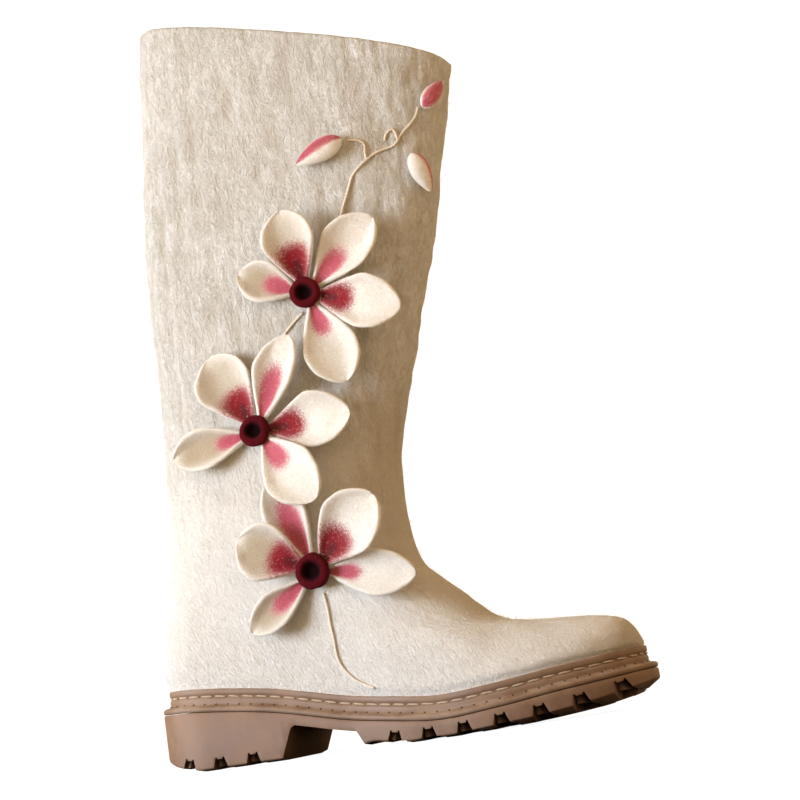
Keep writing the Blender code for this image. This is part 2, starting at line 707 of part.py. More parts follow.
class Felt:
    """The felt's outer face, as something that flowers and stems are laid on."""

    def __init__(self, upper):
        mesh = upper.data
        corners = [tuple(face.vertices) for face in mesh.polygons]
        self.tree = BVHTree.FromPolygons([vertex.co for vertex in mesh.vertices], corners)
        back = FELT_INSET + ANKLE_SETBACK
        self.ankle_x = back + ANKLE_LENGTH / 2
        self.rim_x = back + SHAFT_LEAN + COLLAR_LENGTH / 2

    def place(self, turn, up):
        """Point and outward normal of the felt at a turn round the shaft and a height."""
        z = up * SHAFT_HEIGHT
        climb = (z - ANKLE_HEIGHT) / (SHAFT_HEIGHT - ANKLE_HEIGHT)
        middle = Vector((self.ankle_x + (self.rim_x - self.ankle_x) * climb, 0, z))
        angle = math.radians(turn)
        outside = Vector((math.sin(angle), -math.cos(angle), 0))
        point, normal, _, _ = self.tree.ray_cast(middle + outside * SOLE_LENGTH * 2, -outside)
        return point, normal if normal.dot(outside) > 0 else -normal

    def height(self, point, normal):
        """How far the felt stands above a plane through the point, along the normal."""
        start = point + normal * PETAL_LENGTH
        hit = self.tree.ray_cast(start, -normal, 2 * PETAL_LENGTH)
        return PETAL_LENGTH - hit[3] if hit[0] else -PETAL_LENGTH


def flat_frame(normal):
    """Directions across and up on the felt at a normal."""
    up = Vector((0, 0, 1))
    up = (up - normal * up.dot(normal)).normalized()
    return up.cross(normal), up


def make_petal(name, felt, centre, normal, values, look, collection, parent):
    """A cupped petal, as an open sheet with the felt's thickness put on its outer side."""
    across, up = flat_frame(normal)
    angle = math.radians(values["angle"])
    ahead = across * math.cos(angle) + up * math.sin(angle)
    aside = normal.cross(ahead)
    length = PETAL_LENGTH * values["length"] - PETAL_START
    build = bmesh.new()
    rows = []
    for along in PETAL_ROWS:
        half = float(curve(PETAL_SHAPE, "half", along)) * PETAL_WIDTH / 2 * values["width"]
        reach = PETAL_START + along * length
        row = []
        for over in PETAL_COLUMNS:
            flat = centre + ahead * reach + aside * (half * over)
            rise = reach * math.tan(math.radians(values["rise"])) * (1 - PETAL_BEND * along)
            rise += PETAL_CUP * half * over ** 2
            seat = felt.height(flat, normal)
            row.append(build.verts.new(flat + normal * (max(rise, seat) + CLEARANCE)))
        rows.append(row)
    for lower, upper in zip(rows, rows[1:]):
        for i in range(len(lower) - 1):
            build.faces.new((lower[i], upper[i], upper[i + 1], lower[i + 1]))
    for face in build.faces:
        face.normal_update()
    if sum(face.normal.dot(normal) for face in build.faces) < 0:
        bmesh.ops.reverse_faces(build, faces=build.faces)
    mesh = bpy.data.meshes.new(name)
    build.to_mesh(mesh)
    build.free()
    petal = add_object(name, mesh, look, collection, parent, PETAL_SHARP)
    sheet = petal.modifiers.new("felt", "SOLIDIFY")
    sheet.thickness = PETAL_THICKNESS
    sheet.offset = 1
    return petal


def make_heart(name, centre, normal, size, look, collection, parent):
    """The dark heart of a flower: a turned button on a short foot, with a dimple."""
    mesh = bpy.data.meshes.new(name)
    points = [(radius * HEART_RADIUS * size, 0, CLEARANCE + height * HEART_HEIGHT)
              for radius, height in zip(HEART_SHAPE["radius"], HEART_SHAPE["height"])]
    mesh.from_pydata(points, [(i, i + 1) for i in range(len(points) - 1)], [])
    heart = bpy.data.objects.new(name, mesh)
    mesh.materials.append(look)
    heart.parent = parent
    heart.location = centre
    heart.rotation_mode = "QUATERNION"
    heart.rotation_quaternion = normal.to_track_quat("Z", "Y")
    collection.objects.link(heart)
    turn = heart.modifiers.new("turn", "SCREW")
    turn.axis = "Z"
    turn.steps = turn.render_steps = HEART_STEPS
    turn.use_merge_vertices = True
    turn.merge_threshold = HEART_MERGE
    return heart


def make_bud(name, felt, stalk, tip, width, look, collection, parent):
    """A closed bud, lying on the felt from its stalk to its tip."""
    base, end = felt.place(*stalk)[0], felt.place(*tip)[0]
    point, normal = felt.place((stalk[0] + tip[0]) / 2, (stalk[1] + tip[1]) / 2)
    length = (end - base).length
    ahead = (end - base - normal * (end - base).dot(normal)).normalized()
    aside = normal.cross(ahead)
    radius = BUD_WIDTH * width / 2
    build = bmesh.new()
    around, along_steps = BUD_STEPS
    bmesh.ops.create_uvsphere(build, u_segments=around, v_segments=along_steps, radius=1)
    lift = radius * BUD_FLATNESS
    for vertex in build.verts:
        along, over, high = vertex.co.z, vertex.co.x, vertex.co.y
        slim = radius * (1 - BUD_TAPER * along)
        vertex.co = (point + ahead * (along * length / 2) + aside * (over * slim)
                     + normal * (high * BUD_FLATNESS * slim + lift))
    build.normal_update()
    bmesh.ops.recalc_face_normals(build, faces=build.faces)
    lowest = min(-felt.height(vertex.co, normal) for vertex in build.verts)
    for vertex in build.verts:
        vertex.co += normal * (CLEARANCE - lowest)
    mesh = bpy.data.meshes.new(name)
    build.to_mesh(mesh)
    build.free()
    return add_object(name, mesh, look, collection, parent, FELT_SHARP)


def make_stem(name, felt, places, look, collection, parent):
    """A thin felted cord, lying on the felt along its places."""
    rows = {"step": np.arange(len(places), dtype=float),
            "turn": np.array([place[0] for place in places]),
            "up": np.array([place[1] for place in places])}
    ends = [felt.place(*place)[0] for place in places]
    length = sum((b - a).length for a, b in zip(ends, ends[1:]))
    count = max(int(length / STEM_STEP), 3)
    points = []
    for step in np.linspace(0, len(places) - 1, count + 1):
        turn, up = (float(curve(rows, column, step, along="step")) for column in ("turn", "up"))
        point, normal = felt.place(turn, up)
        points.append(point + normal * (STEM_RADIUS + 2 * CLEARANCE))
    cord = bpy.data.curves.new(name, "CURVE")
    cord.dimensions = "3D"
    cord.bevel_depth = STEM_RADIUS
    cord.bevel_resolution = 1
    cord.use_fill_caps = True
    spline = cord.splines.new("POLY")
    spline.points.add(len(points) - 1)
    for control, point in zip(spline.points, points):
        control.co = (*point, 1)
    return add_object(name, cord, look, collection, parent)


def make_flowers(felt, looks, collection, parent):
    """All flowers, buds and stems."""
    for name, (turn, up, size) in FLOWERS.items():
        centre, normal = felt.place(turn, up)
        petals = PETALS[name]
        for i in range(len(petals["angle"])):
            values = {column: float(petals[column][i]) for column in petals}
            make_petal(f"petal_{name}_{i + 1}", felt, centre, normal, values, looks["petal"],
                       collection, parent)
        make_heart(f"heart_{name}", centre, normal, size, looks["heart"], collection, parent)
    for name, (stalk, tip, width) in BUDS.items():
        make_bud(f"bud_{name}", felt, stalk, tip, width, looks["petal"], collection, parent)
    for name, places in STEMS.items():
        make_stem(f"stem_{name}", felt, places, looks["felt"], collection, parent)


def main():
    for leftover in list(bpy.data.objects):
        bpy.data.objects.remove(leftover, do_unlink=True)
    boot = bpy.data.collections.new("felt_boot")
    cutters = bpy.data.collections.new("cutters")
    for collection in (boot, cutters):
        bpy.context.scene.collection.children.link(collection)
    origin = bpy.data.objects.new("boot_origin", None)
    origin.location.x = -ORIGIN_X
    boot.objects.link(origin)
    looks = {
        "felt": material("felt", (0.86, 0.82, 0.74), 0.95),
        "insole": material("insole_felt", (0.80, 0.76, 0.69), 0.95),
        "petal": material("petal_felt", (0.86, 0.76, 0.74), 0.95),
        "heart": material("heart_felt", (0.16, 0.01, 0.03), 0.95),
        "rubber": material("tan_rubber", (0.33, 0.20, 0.135), 0.55),
        "rubber_band": material("band_rubber", (0.31, 0.20, 0.145), 0.50),
    }
    places = even_points(FINE_LOOP, LOOP_HALF)
    make_outsole(looks, boot, cutters, origin, places)
    make_band(looks, boot, origin, places)
    make_insole(looks, boot, origin, places)
    upper = make_upper(looks, boot, origin, places)
    make_flowers(Felt(upper), looks, boot, origin)


main()
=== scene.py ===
"""Looks of a felt boot with felt flowers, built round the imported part, in metres.

The outlines and sections are the part's own: x is counted from the back of the sole while a piece is
made, and every finished mesh is then moved by ORIGIN_X into the part's frame.
"""
import math

import bmesh
import bpy
import numpy as np
from mathutils import Matrix, Quaternion, Vector, noise
from mathutils.bvhtree import BVHTree


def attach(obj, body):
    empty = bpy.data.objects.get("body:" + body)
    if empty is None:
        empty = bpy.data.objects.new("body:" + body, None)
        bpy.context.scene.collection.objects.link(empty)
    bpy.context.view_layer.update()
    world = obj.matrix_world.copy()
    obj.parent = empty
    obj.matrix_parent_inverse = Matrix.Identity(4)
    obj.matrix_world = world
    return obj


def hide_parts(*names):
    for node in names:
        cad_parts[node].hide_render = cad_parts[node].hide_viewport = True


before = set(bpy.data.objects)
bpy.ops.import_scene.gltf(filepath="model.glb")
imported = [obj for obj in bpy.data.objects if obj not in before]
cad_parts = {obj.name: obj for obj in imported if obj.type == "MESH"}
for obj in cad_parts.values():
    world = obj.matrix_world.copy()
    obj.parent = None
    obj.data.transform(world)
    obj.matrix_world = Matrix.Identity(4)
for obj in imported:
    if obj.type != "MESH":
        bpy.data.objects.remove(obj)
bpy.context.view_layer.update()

# Sole
SOLE_LENGTH = 0.280
BALL_WIDTH = 0.096
HEEL_WIDTH = 0.068
HEEL_HEIGHT = 0.0335        # ground to the top of the sole unit, at the heel
BALL_HEIGHT = 0.0095        # the same under the ball of the foot
TOE_SPRING = 0.0135         # lift of the underside at the toe
HEEL_LENGTH = 0.079
HEEL_ROUNDING = 0.008       # lift of the underside at the back edge
SHANK_THICKNESS = 0.0056
EDGE_LIFT = 0.0035          # the tread is higher at its edge than in its middle
EDGE_SLOPE = 0.009          # width of that slope
ARCH_END = 0.468            # share of the length where the forefoot's tread starts
BREAST_SLOPE = 0.0075       # how far the heel's front face leans forward at its top
ARCH_ROUNDING = 0.003
PARTING_GROOVE = 0.0012
LUG_DEPTH = 0.0055
LUG_GAP = 0.0088
LUG_PITCH = 0.0198
LUG_REACH = 0.33            # share of the sole's width that a gap runs in from the edge
LUG_ROWS = 7
FIRST_GAP = 0.526           # share of the length
HEEL_LUG_ROWS = 3
HEEL_GAP_START = 0.82       # pitches from the heel's front face to its first gap
HEEL_GAP_SHIFT = 0.35       # pitches that the inner side's gaps lie further ahead

# Side band that is stitched round the felt
BAND_HEIGHT = 0.0125
BAND_WALL = 0.0018
BAND_STEP = 0.0045          # how far the foot of the band stands out
BAND_FOOT = 0.0032
STITCH_DROP = 0.0042

# Felt upper
FELT_WALL = 0.005
TOE_DEPTH = 0.0248          # toe box above the band
INSTEP_RISE = 0.072         # instep above the toe box
ANKLE_HEIGHT = 0.150
ANKLE_LENGTH = 0.1396
ANKLE_WIDTH = 0.071
SHAFT_HEIGHT = 0.435        # ground to the rim at the back
COLLAR_DROP = 0.063         # how much lower the rim is at the front
COLLAR_LENGTH = 0.1843
COLLAR_WIDTH = 0.076
SHAFT_LEAN = 0.0199         # how far the back of the rim lies ahead of the back of the ankle

# Felt flowers, buds and stems on the outer side
PETAL_LENGTH = 0.055
PETAL_WIDTH = 0.031
PETAL_THICKNESS = 0.0024
PETAL_START = 0.0042        # distance of a petal's foot from the flower's middle
PETAL_CUP = 0.34            # rise of a petal's edges, as a share of its half width
HEART_RADIUS = 0.0088
HEART_HEIGHT = 0.0105
BUD_WIDTH = 0.0135
BUD_FLATNESS = 0.8
STEM_RADIUS = 0.0009
CLEARANCE = 0.0003

HEEL_FLAT_START = 0.031
ORIGIN_X = (HEEL_FLAT_START + HEEL_LENGTH) / 2

# Seam and pricks of the side band
STITCH_PITCH = 0.0083
STITCH_LENGTH = 0.0072
STITCH_THICKNESS = 0.0010
PRICK_DROP = 0.0088
PRICK_PITCH = 0.0070
PRICK_SIZE = 0.0015

# Edges, grooves and ribs of the rubber
WALL_RINGS = (1.12, 1.3)    # heights of the rings in the sole's wall, in depths of a gap
WALL_TOP = 2.6              # depths of the parting groove that those rings stay under the top
WALL_SPREAD = 0.1           # what a ring stays lower still, over its own height
TREAD_ROUNDING = ((0.0008, -0.0001), (0.0001, 0.0005), (0, 0.0014))   # inwards, over the edge
PARTING_RINGS = ((0, 0.9), (0.25, 0.4), (0.35, 0.1), (0.45, 0))       # inwards, under the top
SOFT_EDGE = 0.00035
SOFT_ANGLE = 35             # degrees between two faces from which their edge is softened
ARCH_SOFTNESS = 0.0006
ARCH_DROP = 0.35            # share of the arch's rounding
SLOPE_REACH = 0.004         # how far each way the slope of the tread's edge is measured
GROOVE_SHIFT = 0.27         # pitches from an outer gap to the groove across the tread
GROOVE_SECTION = ((-0.0034, -0.004), (-0.0012, 0.0017), (0.0012, 0.0017), (0.0034, -0.004))
RIB_HALF = 0.16             # half width of a rib's root, as a share of a gap's width
RIB_TAPER = 0.7
RIB_ROOT = 0.95             # height of its root, in depths of a gap
GAP_SHADE_REACH = 0.016          # how far walls round a gap reach for the painted shade that darkens its rubber

# Relief of the felt and its painted shade and light: heights over the ground, or over the band's top
HEM_SWELL = 0.0009          # how far the felt swells just above the side band
HEM_START = (-0.005, -0.001)
HEM_END = (0.001, 0.012)
RELIEF_START = (0, 0.006)
LEG_RELIEF = (0.08, 0.23)   # where the foot's relief turns into the leg's
LEG_SHADE = (0.05, 0.24)    # where the foot's lighter colour, which is painted light, turns into the leg's
CREASE_START = (0.150, 0.172)
CREASE_END = (0.205, 0.235)
VALLEY_DEPTH = (0.0001, 0.0009)
VALLEY_SHADE = 0.38         # how far the valleys of the leg's felt go towards brown, as painted shade
FRONT_SHADE = 0.70          # how far the felt over the instep goes towards brown, as painted shade
FRONT_TURN = (0.15, 0.8)    # how far a face looks forward where that starts, and is full
FRONT_TOP = (0.15, 0.22)
CUP_SHADE = 0.72            # how far the cups that are turned to the heel go towards brown, as painted shade
CUP_TURN = 0.45
RIM_BULGE = 0.3             # share of the wall that the rim bulges upwards
RIM_STEPS = (0.12, 0.3, 0.5, 0.7, 0.88)
LINING_STEP = 5             # the lining has one ring for so many of the outer face's

# Form of the petals' felt
PETAL_LEVELLING = 0.35      # share of its slope that a petal loses towards its tip
EDGE_WAVE = 0.05            # share of the width that the outline waves
FACE_WAVE = 0.0012
WAVE_START = (0.15, 0.6)
CUP_POWER = 2.6
CUP_GAIN = 1.45
CUP_FADE = 0.8              # share of the cup that is gone at the tip
ROLL_GAIN = 0.45
ROLL_START = (0.3, 0.9)
CURL_GAIN = 0.5
MIDDLE_SHARE = 0.66         # share of the thickness in a petal's middle
RIM_SHARE = 1.15            # what its rim adds
TIP_SHARE = 0.02            # smallest share of the thickness at foot and tip, squared
PETAL_BUMPS = ((230, 0, 0.00018), (90, 4, 0.00035))    # bumps in a metre, seed, height
STAIN_REACH = 1.36
STAIN_WIDTH = 0.55          # half width of a pale stain, as a share of the petal's
STAIN_SPREAD = 0.25         # what a dark one adds
STAIN_FOOT = 0.6

# Form of hearts, buds and stems
POLE_RADIUS = 0.00005       # of the ring that closes a turned shape
HEART_LUMPS = (160, 0.0007)
DIMPLE = (2.4, 4.2)         # steps of the heart's section over which the dimple's painted shade ends
BUD_ALMOND = (0.85, 0.62, 0.22)    # place of the belly, its fullness, and how far the tip thins
BUD_WRAP = (1.13, 0.99)     # the outer petal runs inwards as it goes round
BUD_LIP = 0.95
BUD_POLE = 0.00008
BUD_LUMPS = (200, 0.0003)
BUD_ROSE = (0.95, 9.0, 0.25)       # pink at the seam, how fast it fades, what the tip adds
BUD_TONE = 0.12
STEM_LIFT = 0.8             # radii from the felt to a stem's middle
STEM_STEP = 0.0007
STEM_TWIST = 0.0045         # length of one turn of the two yarns
STEM_PLIES = (0.80, 0.24)
STEM_WOOL = (0.93, 0.10)
STEM_END = 0.3
STEM_PASSES = 6

# Loose hairs, in a square metre and in metres
BOOT_FUZZ = {"Density": 150000.0, "Length": 0.0021, "Width": 0.00011, "Seed": 3}
PETAL_FUZZ = {"Density": 170000.0, "Length": 0.0018, "Width": 0.00009, "Seed": 8}
FUZZ_START = 0.001          # height over the band's top
HAIR_LENGTHS = (0.5, 1.4)   # shares of the length, from the shortest hair to the longest
HAIR_BEND = (25, 82)        # degrees from upright
HAIR_LEAN = 0.4

# Colours. Of two, the first is the light one; rubber has a dark, a light and a dusty one.
LEG_WOOL = ((0.93, 0.91, 0.87), (0.64, 0.60, 0.535))
# the foot's felt is the leg's felt made lighter: painted light
LIT_FOOT_WOOL = ((0.965, 0.945, 0.92), (0.84, 0.80, 0.75))
# brown of the painted shade in the felt's valleys, over the instep and in the petals' cups
SHADED_WOOL = (0.50, 0.41, 0.29)
PETAL_WOOL = ((0.93, 0.91, 0.875), (0.78, 0.72, 0.64))
DEEP_STAIN = ((0.56, 0.110, 0.160), (0.27, 0.004, 0.015))
PALE_STAIN = ((0.68, 0.31, 0.34), (0.44, 0.060, 0.095))
ROOT_STAIN = (0.135, 0.003, 0.009)
HEART_WOOL = ((0.125, 0.004, 0.010), (0.050, 0.002, 0.004))
# near-black painted shade in a heart's dimple
DIMPLE_SHADE = (0.006, 0.0004, 0.0006)
CREAM_YARN = ((0.86, 0.79, 0.69), (0.62, 0.53, 0.42))
SEAM_THREAD = ((0.66, 0.54, 0.41), (0.40, 0.30, 0.20))
INSOLE_WOOL = ((0.80, 0.75, 0.66), (0.60, 0.54, 0.45))
LOOSE_WOOL = ((0.90, 0.86, 0.79), (0.80, 0.74, 0.65))
SOLE_RUBBER = ((0.178, 0.100, 0.060), (0.238, 0.141, 0.090), (0.35, 0.25, 0.18))
BAND_RUBBER = ((0.188, 0.112, 0.071), (0.250, 0.158, 0.104), (0.34, 0.25, 0.185))
# near-black painted shade that stands for the band's prick holes
PRICK_SHADE = ((0.030, 0.017, 0.011), (0.05, 0.03, 0.02), (0.06, 0.04, 0.03))
# painted shade inside the sole's gaps and hollows
GAP_SHADE = (0.020, 0.007, 0.003)
SHEEN_TINT = (1.0, 0.97, 0.92, 1)

# Camera, light and room, in the part's frame
CAMERA_PLACE = (0.3907, -0.8920, 0.0200)
CAMERA_TARGET = (0.1095, 0.0, 0.1865)
CAMERA_ROLL = 8.6
CAMERA_LENS = 63.54
CAMERA_ZOOM = 1.20
SENSOR_WIDTH = 36.0
CAMERA_CLIP = (0.01, 30)
KEY_DIRECTION = (-0.75, -0.66, 0.06)
KEY_DISTANCE = 1.5
KEY_SIZE = 0.8
KEY_POWER = 43
KEY_COLOUR = (0.79, 0.89, 1.0)
FILL_LIGHT = (0.87, 0.61, 0.35)
PAPER_GLOW = 0.94
PAPER_COLOUR = (0.17, 0.17, 0.17)
PAPER_ROUGHNESS = 0.9
SHADE_REACH = (0.06, 0.45)  # from the boot's middle, where the floor's fill glow starts and is full; the dim glow near the boot is a painted shadow
SWEEP_FRONT = -3.0
SWEEP_BACK = 1.6
SWEEP_BEND = 0.8
SWEEP_TOP = 4.0
SWEEP_HALF = 5.0

# Fineness of the visible meshes
FELT_HALF = 140
FELT_STEP = 0.0017
SOLE_HALF = 130
BAND_HALF = 170
PETAL_ROWS = 30
PETAL_COLUMNS = 21
HEART_RINGS = 61
HEART_COLUMNS = 48
BUD_ROWS = 41
BUD_COLUMNS = 45
STEM_COLUMNS = 12


def table(names, *rows):
    """A table with named columns, one row for each section."""
    return {name: np.array(column) for name, column in zip(names.split(), zip(*rows))}


# Plan of the sole. along: share of the length. centre: share of the ball width, towards the
# inner side. heel and ball: shares of those two widths that make up the half width.
PLAN = table(
    "along  centre  heel   ball",
    (0.00,  0.000,  0.490, 0.000),
    (0.12,  0.000,  0.500, 0.000),
    (0.28, -0.010,  0.480, 0.010),
    (0.42, -0.030,  0.300, 0.140),
    (0.54, -0.030,  0.100, 0.350),
    (0.64, -0.005,  0.000, 0.470),
    (0.72,  0.020,  0.000, 0.500),
    (0.82,  0.055,  0.000, 0.475),
    (0.92,  0.095,  0.000, 0.440),
    (1.00,  0.120,  0.000, 0.420),
)
HEEL_ROUND = (0.13, 2.15)    # share of the length that the heel's curve takes, and its fullness
TOE_ROUND = (0.27, 2.30)

# Underside of the sole before the arch is cut out. heel, spring: shares of the two lifts.
# edge: share of the lift of the tread's edge over its middle.
UNDERSIDE = table(
    "along  heel   spring  edge",
    (0.000, 1.00,  0.00,  0.40),
    (0.048, 0.42,  0.00,  0.36),
    (0.088, 0.12,  0.00,  0.34),
    (0.110, 0.00,  0.00,  0.34),
    (0.430, 0.00,  0.00,  0.34),
    (0.480, 0.00,  0.18,  0.34),
    (0.520, 0.00,  0.07,  0.34),
    (0.550, 0.00,  0.00,  0.34),
    (0.640, 0.00,  0.00,  0.38),
    (0.700, 0.00,  0.03,  0.55),
    (0.790, 0.00,  0.08,  0.85),
    (0.860, 0.00,  0.20,  1.00),
    (0.930, 0.00,  0.43,  1.00),
    (1.000, 0.00,  0.76,  1.00),
)

# Top of the sole unit: shares of the height at the heel and at the ball, and of the toe spring.
SOLE_TOP = table(
    "along  heel   ball   spring",
    (0.000, 1.000, 0.00,  0.00),
    (0.070, 0.985, 0.00,  0.00),
    (0.245, 0.780, 0.15,  0.00),
    (0.340, 0.590, 0.25,  0.00),
    (0.435, 0.310, 0.60,  0.00),
    (0.520, 0.120, 0.90,  0.00),
    (0.630, 0.000, 1.00,  0.00),
    (0.735, 0.000, 1.00,  0.15),
    (0.840, 0.000, 1.00,  0.40),
    (0.926, 0.000, 1.00,  0.58),
    (1.000, 0.000, 1.00,  0.75),
)

# Centre line of the foot's top, from the front of the ankle to the toe's tip. toe and instep:
# shares of the toe's depth and of the instep's rise, both counted above the band. The first two
# rows lie under the leg, where the foot's dome runs up into it.
CROWN = table(
    "along  toe    instep",
    (0.000, 1.00,  6.000),
    (0.450, 1.00,  2.600),
    (0.565, 1.00,  0.905),
    (0.567, 1.00,  0.780),
    (0.582, 1.00,  0.658),
    (0.604, 1.00,  0.575),
    (0.625, 1.00,  0.500),
    (0.646, 1.00,  0.420),
    (0.668, 1.00,  0.335),
    (0.688, 1.00,  0.240),
    (0.709, 1.00,  0.165),
    (0.730, 1.00,  0.110),
    (0.760, 1.00,  0.076),
    (0.800, 1.00,  0.045),
    (0.845, 1.00,  0.000),
    (0.911, 0.87,  0.000),
    (0.934, 0.79,  0.000),
    (0.956, 0.65,  0.000),
    (0.967, 0.48,  0.000),
    (0.973, 0.25,  0.000),
    (0.9764, 0.00, 0.000),
)

# Rings of the foot part. front: place on the crown line, as a share of the length. back: how far
# the back has moved from the band to the ankle's back. up: height of the back point between the
# top of the band and the ankle. flat: how far the ring has left the band's curve. leg: share of
# leg shape. puff: share of the felt's swelling over the band.
FOOT_RINGS = table(
    "front   back   up    flat  leg   puff",
    (0.9750, -0.08, 0.050, 0.10, 0.00, 0.6),
    (0.9715, -0.11, 0.087, 0.28, 0.00, 1.0),
    (0.9650, -0.10, 0.127, 0.50, 0.00, 1.0),
    (0.9500, -0.07, 0.160, 0.75, 0.01, 0.9),
    (0.9200, -0.02, 0.194, 1.00, 0.02, 0.8),
    (0.8700, 0.05,  0.234, 1.00, 0.04, 0.6),
    (0.8100, 0.13,  0.274, 1.00, 0.08, 0.5),
    (0.7560, 0.22,  0.317, 1.00, 0.14, 0.4),
    (0.7150, 0.32,  0.365, 1.00, 0.22, 0.3),
    (0.6820, 0.42,  0.413, 1.00, 0.33, 0.2),
    (0.6500, 0.52,  0.460, 1.00, 0.46, 0.1),
    (0.6130, 0.63,  0.510, 1.00, 0.62, 0.0),
    (0.5820, 0.72,  0.570, 1.00, 0.80, 0.0),
)

# Rings of the leg part. up: share of the way from ankle to rim at the back. back_x, length and
# width: shares of the change from ankle to collar. round: fullness of the oval.
LEG_RINGS = table(
    "up      back_x  length  width   round",
    (-0.145, -0.12,  0.060,  -0.03,  2.25),
    (-0.080, -0.04,  0.000,  0.00,   2.25),
    (0.000,  0.00,   0.000,  0.00,   2.25),
    (0.120,  0.11,   0.114,  0.10,   2.25),
    (0.250,  0.155,  0.340,  0.25,   2.30),
    (0.400,  0.175,  0.577,  0.45,   2.35),
    (0.550,  0.325,  0.774,  0.65,   2.40),
    (0.700,  0.51,   0.879,  0.80,   2.40),
    (0.850,  0.715,  0.964,  0.92,   2.40),
    (0.960,  0.87,   1.010,  0.99,   2.40),
    (1.000,  1.00,   1.000,  1.00,   2.40),
)
ANKLE_SETBACK = 0.0125       # how far the ankle's back lies ahead of the felt's foot
ANKLE_TILT = 0.022           # how much higher the ankle ring is at its back
FELT_PUFF = 0.0025           # how far the felt swells out over the band
DOME_POWER = 2.2
DOME_FALL = 0.5              # how steeply a ring drops off the crown behind its front
FOOT_SAG = 0.45              # how far a foot ring's side hangs below a straight line to its back
RELAX_PASSES = 6             # times that the foot's rings are evened out along their sides
BAND_RINGS = 2               # rings of the felt that lie inside the band
SAME_PLACE = 1e-9


# Flowers. turn: degrees round the shaft, from its outer side towards its front. up: share of the
# shaft's height. size: size of the heart.
FLOWERS = {
    "top": (39.3, 0.572, 1.00),
    "middle": (-1.5, 0.410, 1.00),
    "low": (44.8, 0.2237, 1.12),
}

# Petals of each flower. angle: degrees, from the boot's front upwards. length, width: shares of a
# petal's length and width. rise: degrees that it stands off the felt. cup: how deep it is. curl: how
# far its tip turns up. roll: how far its right edge stands over its left one. tone: 1 for a crimson
# root, 0 for a pink one. spot: length of the coloured root, as a share of the petal.
PETALS = {
    "top": table(
        "angle  length  width  rise  cup   curl  roll  tone  spot",
        (96,    0.85,   0.95,  17,   1.15, 0.10, 0.0,  1.0,  0.52),
        (38,    1.01,   0.91,  5,    1.05, 0.10, 0.1,  0.0,  0.50),
        (-20,   1.02,   0.95,  17,   0.95, 0.00, 0.0,  1.0,  0.44),
        (-73,   1.00,   0.98,  5,    1.00, 0.15, -0.5, 0.0,  0.40),
        (155,   0.74,   0.76,  5,    1.00, 0.10, 0.0,  0.1,  0.55)),
    "middle": table(
        "angle  length  width  rise  cup   curl  roll  tone  spot",
        (115,   0.92,   1.06,  5,    1.10, 0.10, 0.2,  1.0,  0.47),
        (58,    1.01,   0.76,  17,   1.15, 0.05, 0.0,  0.1,  0.62),
        (-1,    1.02,   0.98,  5,    0.90, 0.10, 0.0,  1.0,  0.44),
        (-54,   1.00,   1.02,  19,   0.90, 0.00, 0.0,  0.0,  0.45),
        (-172,  0.93,   0.74,  5,    1.00, 0.10, 0.0,  0.1,  0.42)),
    "low": table(
        "angle  length  width  rise  cup   curl  roll  tone  spot",
        (149,   0.82,   1.02,  17,   1.00, 0.05, 0.0,  1.0,  0.50),
        (107,   1.02,   0.78,  4,    1.10, 0.10, 0.0,  0.1,  0.72),
        (38,    1.00,   1.12,  17,   1.05, 0.05, 0.0,  1.0,  0.47),
        (-10,   1.06,   0.78,  5,    0.90, 0.10, 0.0,  0.1,  0.40),
        (-146,  0.88,   0.66,  5,    1.10, 0.15, 0.3,  0.1,  0.60)),
}

# Outline of a petal: along its length, and half width as a share.
PETAL_SHAPE = table(
    "along  half",
    (0.00,  0.12),
    (0.10,  0.25),
    (0.22,  0.48),
    (0.40,  0.80),
    (0.58,  1.00),
    (0.76,  0.90),
    (0.90,  0.60),
    (0.97,  0.33),
    (1.00,  0.10),
)

# Section of a flower's heart, from the bottom of its dimple over the rim to its foot.
HEART_SHAPE = table(
    "step  radius  height",
    (0,    0.00,   0.52),
    (1,    0.26,   0.53),
    (2,    0.40,   0.62),
    (3,    0.50,   0.80),
    (4,    0.66,   0.90),
    (5,    0.84,   0.87),
    (6,    0.97,   0.75),
    (7,    1.00,   0.62),
    (8,    0.90,   0.46),
    (9,    0.66,   0.36),
    (10,   0.36,   0.30),
    (11,   0.34,   0.00),
    (12,   0.00,   0.00),
)

# Buds, from stalk to tip, in degrees round the shaft and shares of its height, and their width.
# seam: where the outer petal's edge runs, in degrees round the bud. rose: width of the pink.
BUDS = {
    "back": ((56.9, 0.759), (35.4, 0.737), 1.0, 118, 1.0),
    "rim": ((77.8, 0.789), (84.0, 0.823), 0.8, 80, 2.2),
    "front": ((75.0, 0.729), (82.5, 0.681), 0.9, 32, 1.1),
}

# Stems: places in degrees round the shaft and shares of its height.
STEMS = {
    "main": ((53.0, 0.648), (57.2, 0.689), (60.0, 0.717), (63.8, 0.730), (68.2, 0.7395),
             (71.3, 0.7425), (72.6, 0.750), (74.3, 0.761), (77.4, 0.780)),
    "branch": ((63.2, 0.738), (63.3, 0.7485), (61.2, 0.756), (59.0, 0.7575)),
    "tendril": ((71.8, 0.7590), (70.9, 0.7655), (69.7, 0.760), (69.4, 0.751)),
    "link": ((36.0, 0.5500), (28.4, 0.5375), (17.9, 0.5195)),
    "short": ((6.0, 0.3835), (5.2, 0.366), (5.6, 0.350)),
    "low": ((48.4, 0.196), (50.5, 0.173), (52.7, 0.140), (54.1, 0.1155), (57.8, 0.090),
            (62.0, 0.070)),
}

# Where a stem runs on into the bud or stem at its start and at its end.
STEM_JOINS = {
    "main": ((), ((77.9, 0.7915),)),
    "branch": (((63.6, 0.7305),), ((56.6, 0.7592),)),
    "tendril": (((72.5, 0.7505),), ()),
}

